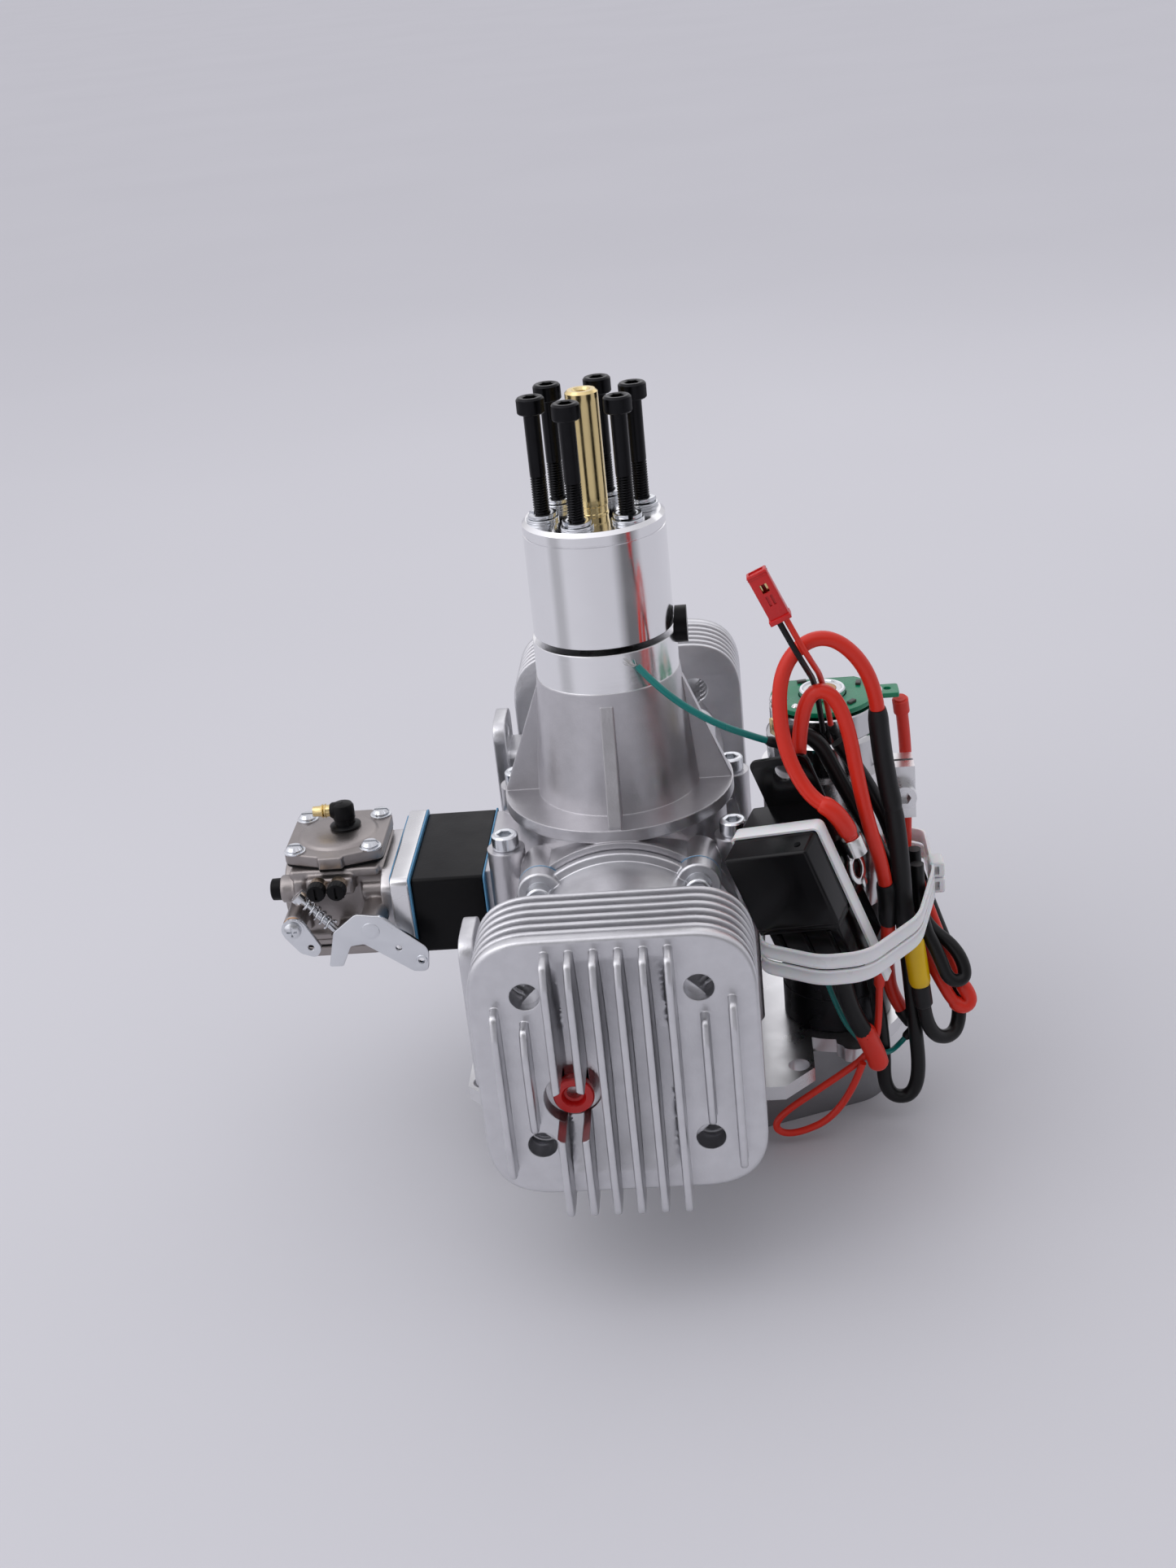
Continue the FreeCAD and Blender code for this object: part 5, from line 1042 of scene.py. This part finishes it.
def build_needles():
    """Each mixture needle's barrel and its knurled, slotted cap."""
    for name, x in NEEDLE_XS.items():
        barrel = turned([(0, 1.5), (8.0, 1.5), (8.2, 2.5), (8.6, 2.75), (11.9, 2.75), (12.2, 2.5)],
                        (x, -12.0, NEEDLE_Z), -Y, 36)
        place_piece(name + "_barrel", barrel, "tan_metal", body=name + "_screw")
        cap = turned([(0, 2.7), (0.3, 3.1), (2.9, knurl_reach(3.15, 18, 0.12)), (3.4, 2.8), (3.6, 2.3)],
                     (x, -23.7, NEEDLE_Z), -Y, 72)
        slot = box((x - 0.4, x + 0.4), (-28.0, -26.4), (NEEDLE_Z - 2.0, NEEDLE_Z + 2.0), 0)
        place_piece(name + "_cap", cut(cap, [slot]), "black", name, name + "_screw")


def lever(corners, holes, y, thick=1.5):
    """A stamped lever: corners and holes are (x, z, radius)."""
    loops = [rounded_loop(corners, 2.0, 10)] + [circle_loop(hole[:2], hole[2], 28) for hole in holes]
    stand = Matrix(((1, 0, 0, 0), (0, 0, -1, y), (0, 1, 0, 0), (0, 0, 0, 1)))
    return moved(plate(loops, -thick / 2, thick / 2, 0.22), stand)


def butterfly(x, y, length):
    """A shaft across the bore from y, and the disc that closes the bore."""
    shaft = turned([(0, 2.0), (length, 2.0)], (x, y, INTAKE_Z), Y, 32)
    return joined([shaft, turned([(0, 9.85), (1.0, 9.85)], (x - 0.5, 0, INTAKE_Z), X, 64)])


def build_levers():
    """The throttle's bell crank and the choke's arm, each with its shaft and butterfly."""
    crank = lever([(-86.0, 70.6, 2.0), (-77.6, 69.4, 3.5), (-63.6, 57.0, 4.2), (-64.6, 48.6, 4.4),
                   (-69.4, 49.0, 3.0), (-84.2, 59.9, 2.0), (-88.6, 59.4, 1.2), (-92.0, 52.3, 0.8),
                   (-96.6, 52.4, 0.8), (-93.6, 64.6, 1.6)], [(-73.2, 57.8, 1.0), (-66.4, 52.9, 1.0)], THROTTLE_Y)
    rivet = turned([(0, 3.0), (0.25, 2.9), (0.5, 1.9), (0.5, 1.2)],
                   (THROTTLE_X, THROTTLE_Y - 0.7, INTAKE_Z), -Y, 32)
    eyelet = turned([(0, 1.0), (0, 1.9), (0.35, 1.75), (0.35, 1.1)],
                    (-66.4, THROTTLE_Y - 0.75, 52.9), -Y, 28, True)
    place_piece("throttle_bell_crank", joined([crank, rivet, eyelet]), "zinc", "throttle_lever", "throttle")
    place_piece("throttle_shaft", butterfly(THROTTLE_X, THROTTLE_Y + 0.7, 46.5), "brass", body="throttle")
    arm = lever([(-111.3, 62.6, 3.8), (-109.6, 68.4, 3.8), (-104.2, 67.6, 3.4), (-99.0, 57.2, 3.0),
                 (-101.0, 53.6, 3.0), (-106.2, 55.6, 3.0)], [(-102.6, 57.6, 1.0)], CHOKE_Y)
    head = turned([(0, 2.9), (1.0, 2.8), (1.6, 2.0), (1.8, 1.0)], (CHOKE_X, CHOKE_Y - 0.8, INTAKE_Z), -Y, 40)
    cross = [box((CHOKE_X - a, CHOKE_X + a), (CHOKE_Y - 4.0, CHOKE_Y - 1.8), (INTAKE_Z - b, INTAKE_Z + b), 0)
             for a, b in ((1.7, 0.35), (0.35, 1.7))]
    washer = turned([(0, 3.7), (0.3, 3.7)], (CHOKE_X, CHOKE_Y - 0.7, INTAKE_Z), -Y, 40)
    head = cut(cut(head, [cross[0]]), [cross[1]])
    place_piece("choke_arm", joined([arm, head, washer]), "zinc", "choke_lever", "choke")
    collar = turned([(0, 2.05), (0, 3.3), (0.3, 3.5), (2.2, 3.5), (2.5, 3.2), (2.5, 2.05)],
                    (CHOKE_X, CHOKE_Y + 0.9, INTAKE_Z), Y, 36, True)
    place_piece("choke_shaft", butterfly(CHOKE_X, CHOKE_Y + 0.6, 42.5), "brass", body="choke")
    place_piece("choke_collar", collar, "bronze", body="choke")


build_intake()
build_carb()
build_fuel_fittings()
build_needles()
build_levers()


# ---------- Connector, terminal and sleeves ----------

CONNECTOR_FRAME = spun(-24.0, "Y", (54.3, -44.0, 164.5))


def build_connector():
    """A two-pin connector, open at its far end."""
    shell = box((-3.0, 3.0), (-2.0, 2.0), (0, 16.0), 0.3)
    hollow = box((-2.2, 2.2), (-1.2, 1.2), (9.0, 17.0), 0)
    window = box((-0.9, 1.3), (-2.6, -1.1), (9.4, 12.2), 0)
    slots = [box((x - 0.35, x + 0.35), (-2.6, -1.5), (5.2, 8.4), 0) for x in (-0.5, 0.9)]
    body = cut(cut(shell, [hollow]), [window] + slots)
    lip = box((-3.5, 3.2), (-2.5, 2.2), (-0.4, 1.2), 0.25)
    ridges = [box((-3.1, 3.1), (-2.15, 2.15), (level, level + 0.35), 0.08) for level in (14.6, 15.3)]
    place_piece("connector_shell", moved(joined([body, lip] + ridges), CONNECTOR_FRAME), "red", "connector")
    contacts = [box((x - 0.5, x + 0.5), (-0.6, 0.4), (8.6, 14.5), 0.12) for x in (-1.0, 1.0)]
    place_piece("connector_contacts", moved(joined(contacts), CONNECTOR_FRAME), "brass")


def build_ring_terminal():
    """A ring terminal beside the relay, crimped on the end of a red lead."""
    at = Vector((RELAY_W + 1.0, 7.6, -23.0))
    eye = plate([circle_loop((0, 0), 5.2, 48), circle_loop((0, 0), 3.1, 40)], -0.5, 0.5, 0.18)
    tongue = box((-2.2, 2.2), (3.6, 6.5), (-0.5, 0.5), 0.2)
    tip = box((-1.2, 1.8), (-7.0, -4.2), (-0.5, 0.5), 0.2)
    flat = Matrix(((0, 0, 1, at.x), (1, 0, 0, at.y), (0, 1, 0, at.z), (0, 0, 0, 1)))
    foot = (at.x + 2.5, at.y, at.z + 5.5)
    barrel = turned([(0, 2.5), (0, 3.1), (5.7, 3.1), (6.0, 2.9), (6.0, 2.5)], foot, Z, 36, True)
    crimps = [turned([(level, 3.1), (level + 0.3, 2.9), (level + 0.6, 3.1)], foot, Z, 36) for level in (1.6, 3.6)]
    shape = joined([moved(joined([eye, tongue, tip]), flat), barrel] + crimps)
    place_piece("ring_terminal_tin", moved(shape, RELAY_FRAME), "tin", "ring_terminal")


def bulge(radius, ends):
    """A sleeve's radius, drawn in over the last eighth at each end."""
    def profile(t):
        return radius - ends * max(0.0, 1 - min(t, 1 - t) / 0.12) ** 2
    return profile


# Sleeves over the leads: lead, where the sleeve starts and ends along it, radius, how far its ends shrink, look.
SLEEVES = (
    ("lead_red_a", 0.0, 46.0, 3.0, 0.4, "shrink"),
    ("lead_red_a", 44.0, 79.0, 3.1, 0.5, "shrink"),
    ("lead_red_a", 171.0, 186.0, 2.9, 0.4, "red_lead"),
    ("lead_black_a", 62.0, 79.0, 3.0, 0.3, "shrink"),
    ("lead_black_a", 88.5, 106.0, 3.5, 0.5, "yellow"),
    ("lead_black_a", 104.5, 114.0, 3.1, 0.6, "shrink"),
    ("lead_red_b", 95.0, 112.0, 3.0, 0.3, "shrink"),
    ("lead_red_b", 154.0, 161.0, 2.7, 0.5, "shrink"),
    ("lead_red_c", 0.0, 6.5, 2.6, 1.6, "red_lead"),
    ("lead_red_c", 113.0, 126.0, 2.5, 0.5, "red_lead"),
    ("thin_red", 0.0, 14.0, 1.8, 0.5, "red_lead"),
    ("tail_green", 55.0, 63.0, 1.5, 0.5, "shrink"),
    ("sensor_green", 47.0, 65.0, 1.7, 0.5, "shrink"),
)
BOOT_LINE = ((73.0, -35.2, 20.0), (75.2, -33.6, 13.0), (77.0, -33.2, 8.0), (78.2, -33.2, 2.5))


def build_sleeves():
    for index, (lead, start, end, radius, ends, look) in enumerate(SLEEVES):
        line = spline_line(LEADS[lead][2])
        place_piece(f"sleeve_{index}_{lead}", sleeve(line, start, end, bulge(radius, ends)), look)
    place_piece("red_boot", sleeve(spline_line(BOOT_LINE), 0.0, 18.0, bulge(3.4, 1.2)), "red_lead")


def build_strands():
    """The bare strands of the green lead, spread where they reach the nose."""
    random.seed(STRAND_SEED)
    start = Vector(LEADS["sensor_green"][2][0])
    section = circle_loop((0, 0), 0.13, 6)
    strands = []
    for _ in range(STRAND_COUNT):
        tip = start + Vector((random.uniform(-4.2, -0.5), random.uniform(-0.9, 0.0), random.uniform(-0.2, 3.2)))
        middle = start.lerp(tip, 0.5) + Vector((random.uniform(-0.5, 0.5), -0.4, random.uniform(-0.4, 0.4)))
        path = spaced(spline_line([start + X * 1.5 - Z * 1.0, start, middle, tip]), 0.4)
        strands.append(swept(path, lambda index: section, Y))
    place_piece("bare_strands", joined(strands), "tin")


build_connector()
build_ring_terminal()
build_leads()
build_sleeves()
build_strands()


# ---------- Stage ----------

FLOOR_TONE = (0.62, 0.62, 0.65)
FLOOR_LEVEL, FLOOR_HALF = -0.025, 30.0
FLAG_LEVEL, FLAG_REACH = -0.024, (0.3, 0.9)


def build_stage():
    """A wide matt floor in metres."""
    corners = [(sx * FLOOR_HALF, sy * FLOOR_HALF, FLOOR_LEVEL) for sx, sy in ((-1, -1), (1, -1), (1, 1), (-1, 1))]
    floor = mesh_object("floor", (corners, [(0, 1, 2, 3)]))
    shade = Shade("floor", FLOOR_TONE, 0.0, 0.6, Specular_IOR_Level=0.0)
    shade.colour(shade.mix(shade.noise(3.0, 2.0), (0.61, 0.61, 0.64), (0.64, 0.64, 0.67)))
    floor.data.materials.append(shade.material)


# Dark bands on the reflecting card: middle and half width in degrees round from the front, and depth.
BANDS = ((52.0, 26.0, 0.8), (-66.0, 16.0, 0.35))


def build_flag():
    """A low card round the front that only reflections show: the hub mirrors its soft dark bands."""
    arc = [math.radians(turn) for turn in range(-84, 85, 12)]
    corners = [(reach * math.sin(turn), -reach * math.cos(turn), FLAG_LEVEL)
               for reach in FLAG_REACH for turn in arc]
    count = len(arc)
    faces = [(index, index + 1, count + index + 1, count + index) for index in range(count - 1)]
    flag = mesh_object("flag", (corners, faces))
    flag.visible_camera = flag.visible_diffuse = flag.visible_shadow = False
    shade = Shade("flag", FLOOR_TONE, 0.0, 0.8)
    turn = shade.math("ARCTAN2", shade.axis("X"), shade.math("MULTIPLY", shade.axis("Y"), -1.0))
    kept = 1.0
    for middle, half, depth in BANDS:
        off = shade.math("ABSOLUTE", shade.math("SUBTRACT", turn, math.radians(middle)), 0.0)
        band = shade.ramp(off, math.radians(half * 0.3), math.radians(half), 1.0 - depth, 1.0)
        kept = shade.math("MULTIPLY", kept, band)
    shade.colour(shade.mix(kept, (0.0, 0.0, 0.0), FLOOR_TONE))
    flag.data.materials.append(shade.material)


LIGHT_TARGET = Vector((0, 0, 60))


def soft_light(name, at, size, power):
    data = bpy.data.lights.new(name, "AREA")
    data.shape = "RECTANGLE"
    data.size, data.size_y = (side * MM for side in size)
    data.energy = power
    light = add_object(name, data)
    way = (LIGHT_TARGET - Vector(at)).normalized()
    light.matrix_world = Matrix.Translation(Vector(at) * MM) @ way.to_track_quat("-Z", "Y").to_matrix().to_4x4()


# Parts of the room: direction, where the change starts and ends, and the factor on each side.
ROOM = (
    ((-0.6, -0.3, 0.75), 0.0, 0.95, 0.75, 1.25),
    ((0.08, -0.88, 0.45), 0.80, 0.97, 1.0, 0.30),
    ((0.75, -0.62, 0.2), 0.86, 0.98, 1.0, 0.42),
)
# How bright the room is where it shows beyond the floor: as pale as the floor at the horizon.
HORIZON = 0.58
ROOM_COLOUR = (0.90, 0.89, 0.94, 1)


def build_world():
    """An even pale room: brighter up on the left, darker where the viewer stands."""
    world = bpy.data.worlds.new("studio")
    bpy.context.scene.world = world
    world.use_nodes = True
    tree = world.node_tree
    way = add_node(tree, "TexCoord", {}).outputs["Generated"]
    strength = None
    for towards, *change in ROOM:
        dot = add_node(tree, "VectorMath", {0: way, 1: Vector(towards).normalized()}, operation="DOT_PRODUCT")
        lobe = map_range(tree, dot.outputs["Value"], *change, interpolation_type="SMOOTHSTEP")
        if strength is None:
            strength = lobe
        else:
            strength = add_node(tree, "Math", {0: strength, 1: lobe}, operation="MULTIPLY").outputs[0]
    direct = add_node(tree, "LightPath", {}).outputs["Is Camera Ray"]
    strength = add_node(tree, "Mix", {"Factor": direct, "A": strength, "B": HORIZON}).outputs["Result"]
    background = tree.nodes["Background"]
    background.inputs["Color"].default_value = ROOM_COLOUR
    tree.links.new(strength, background.inputs["Strength"])


build_stage()
build_flag()
build_world()
soft_light("key", (-700, -300, 1000), (900, 900), 2.2)
soft_light("back", (300, 900, 800), (1100, 700), 1.2)
bpy.context.scene.view_settings.view_transform = "Standard"
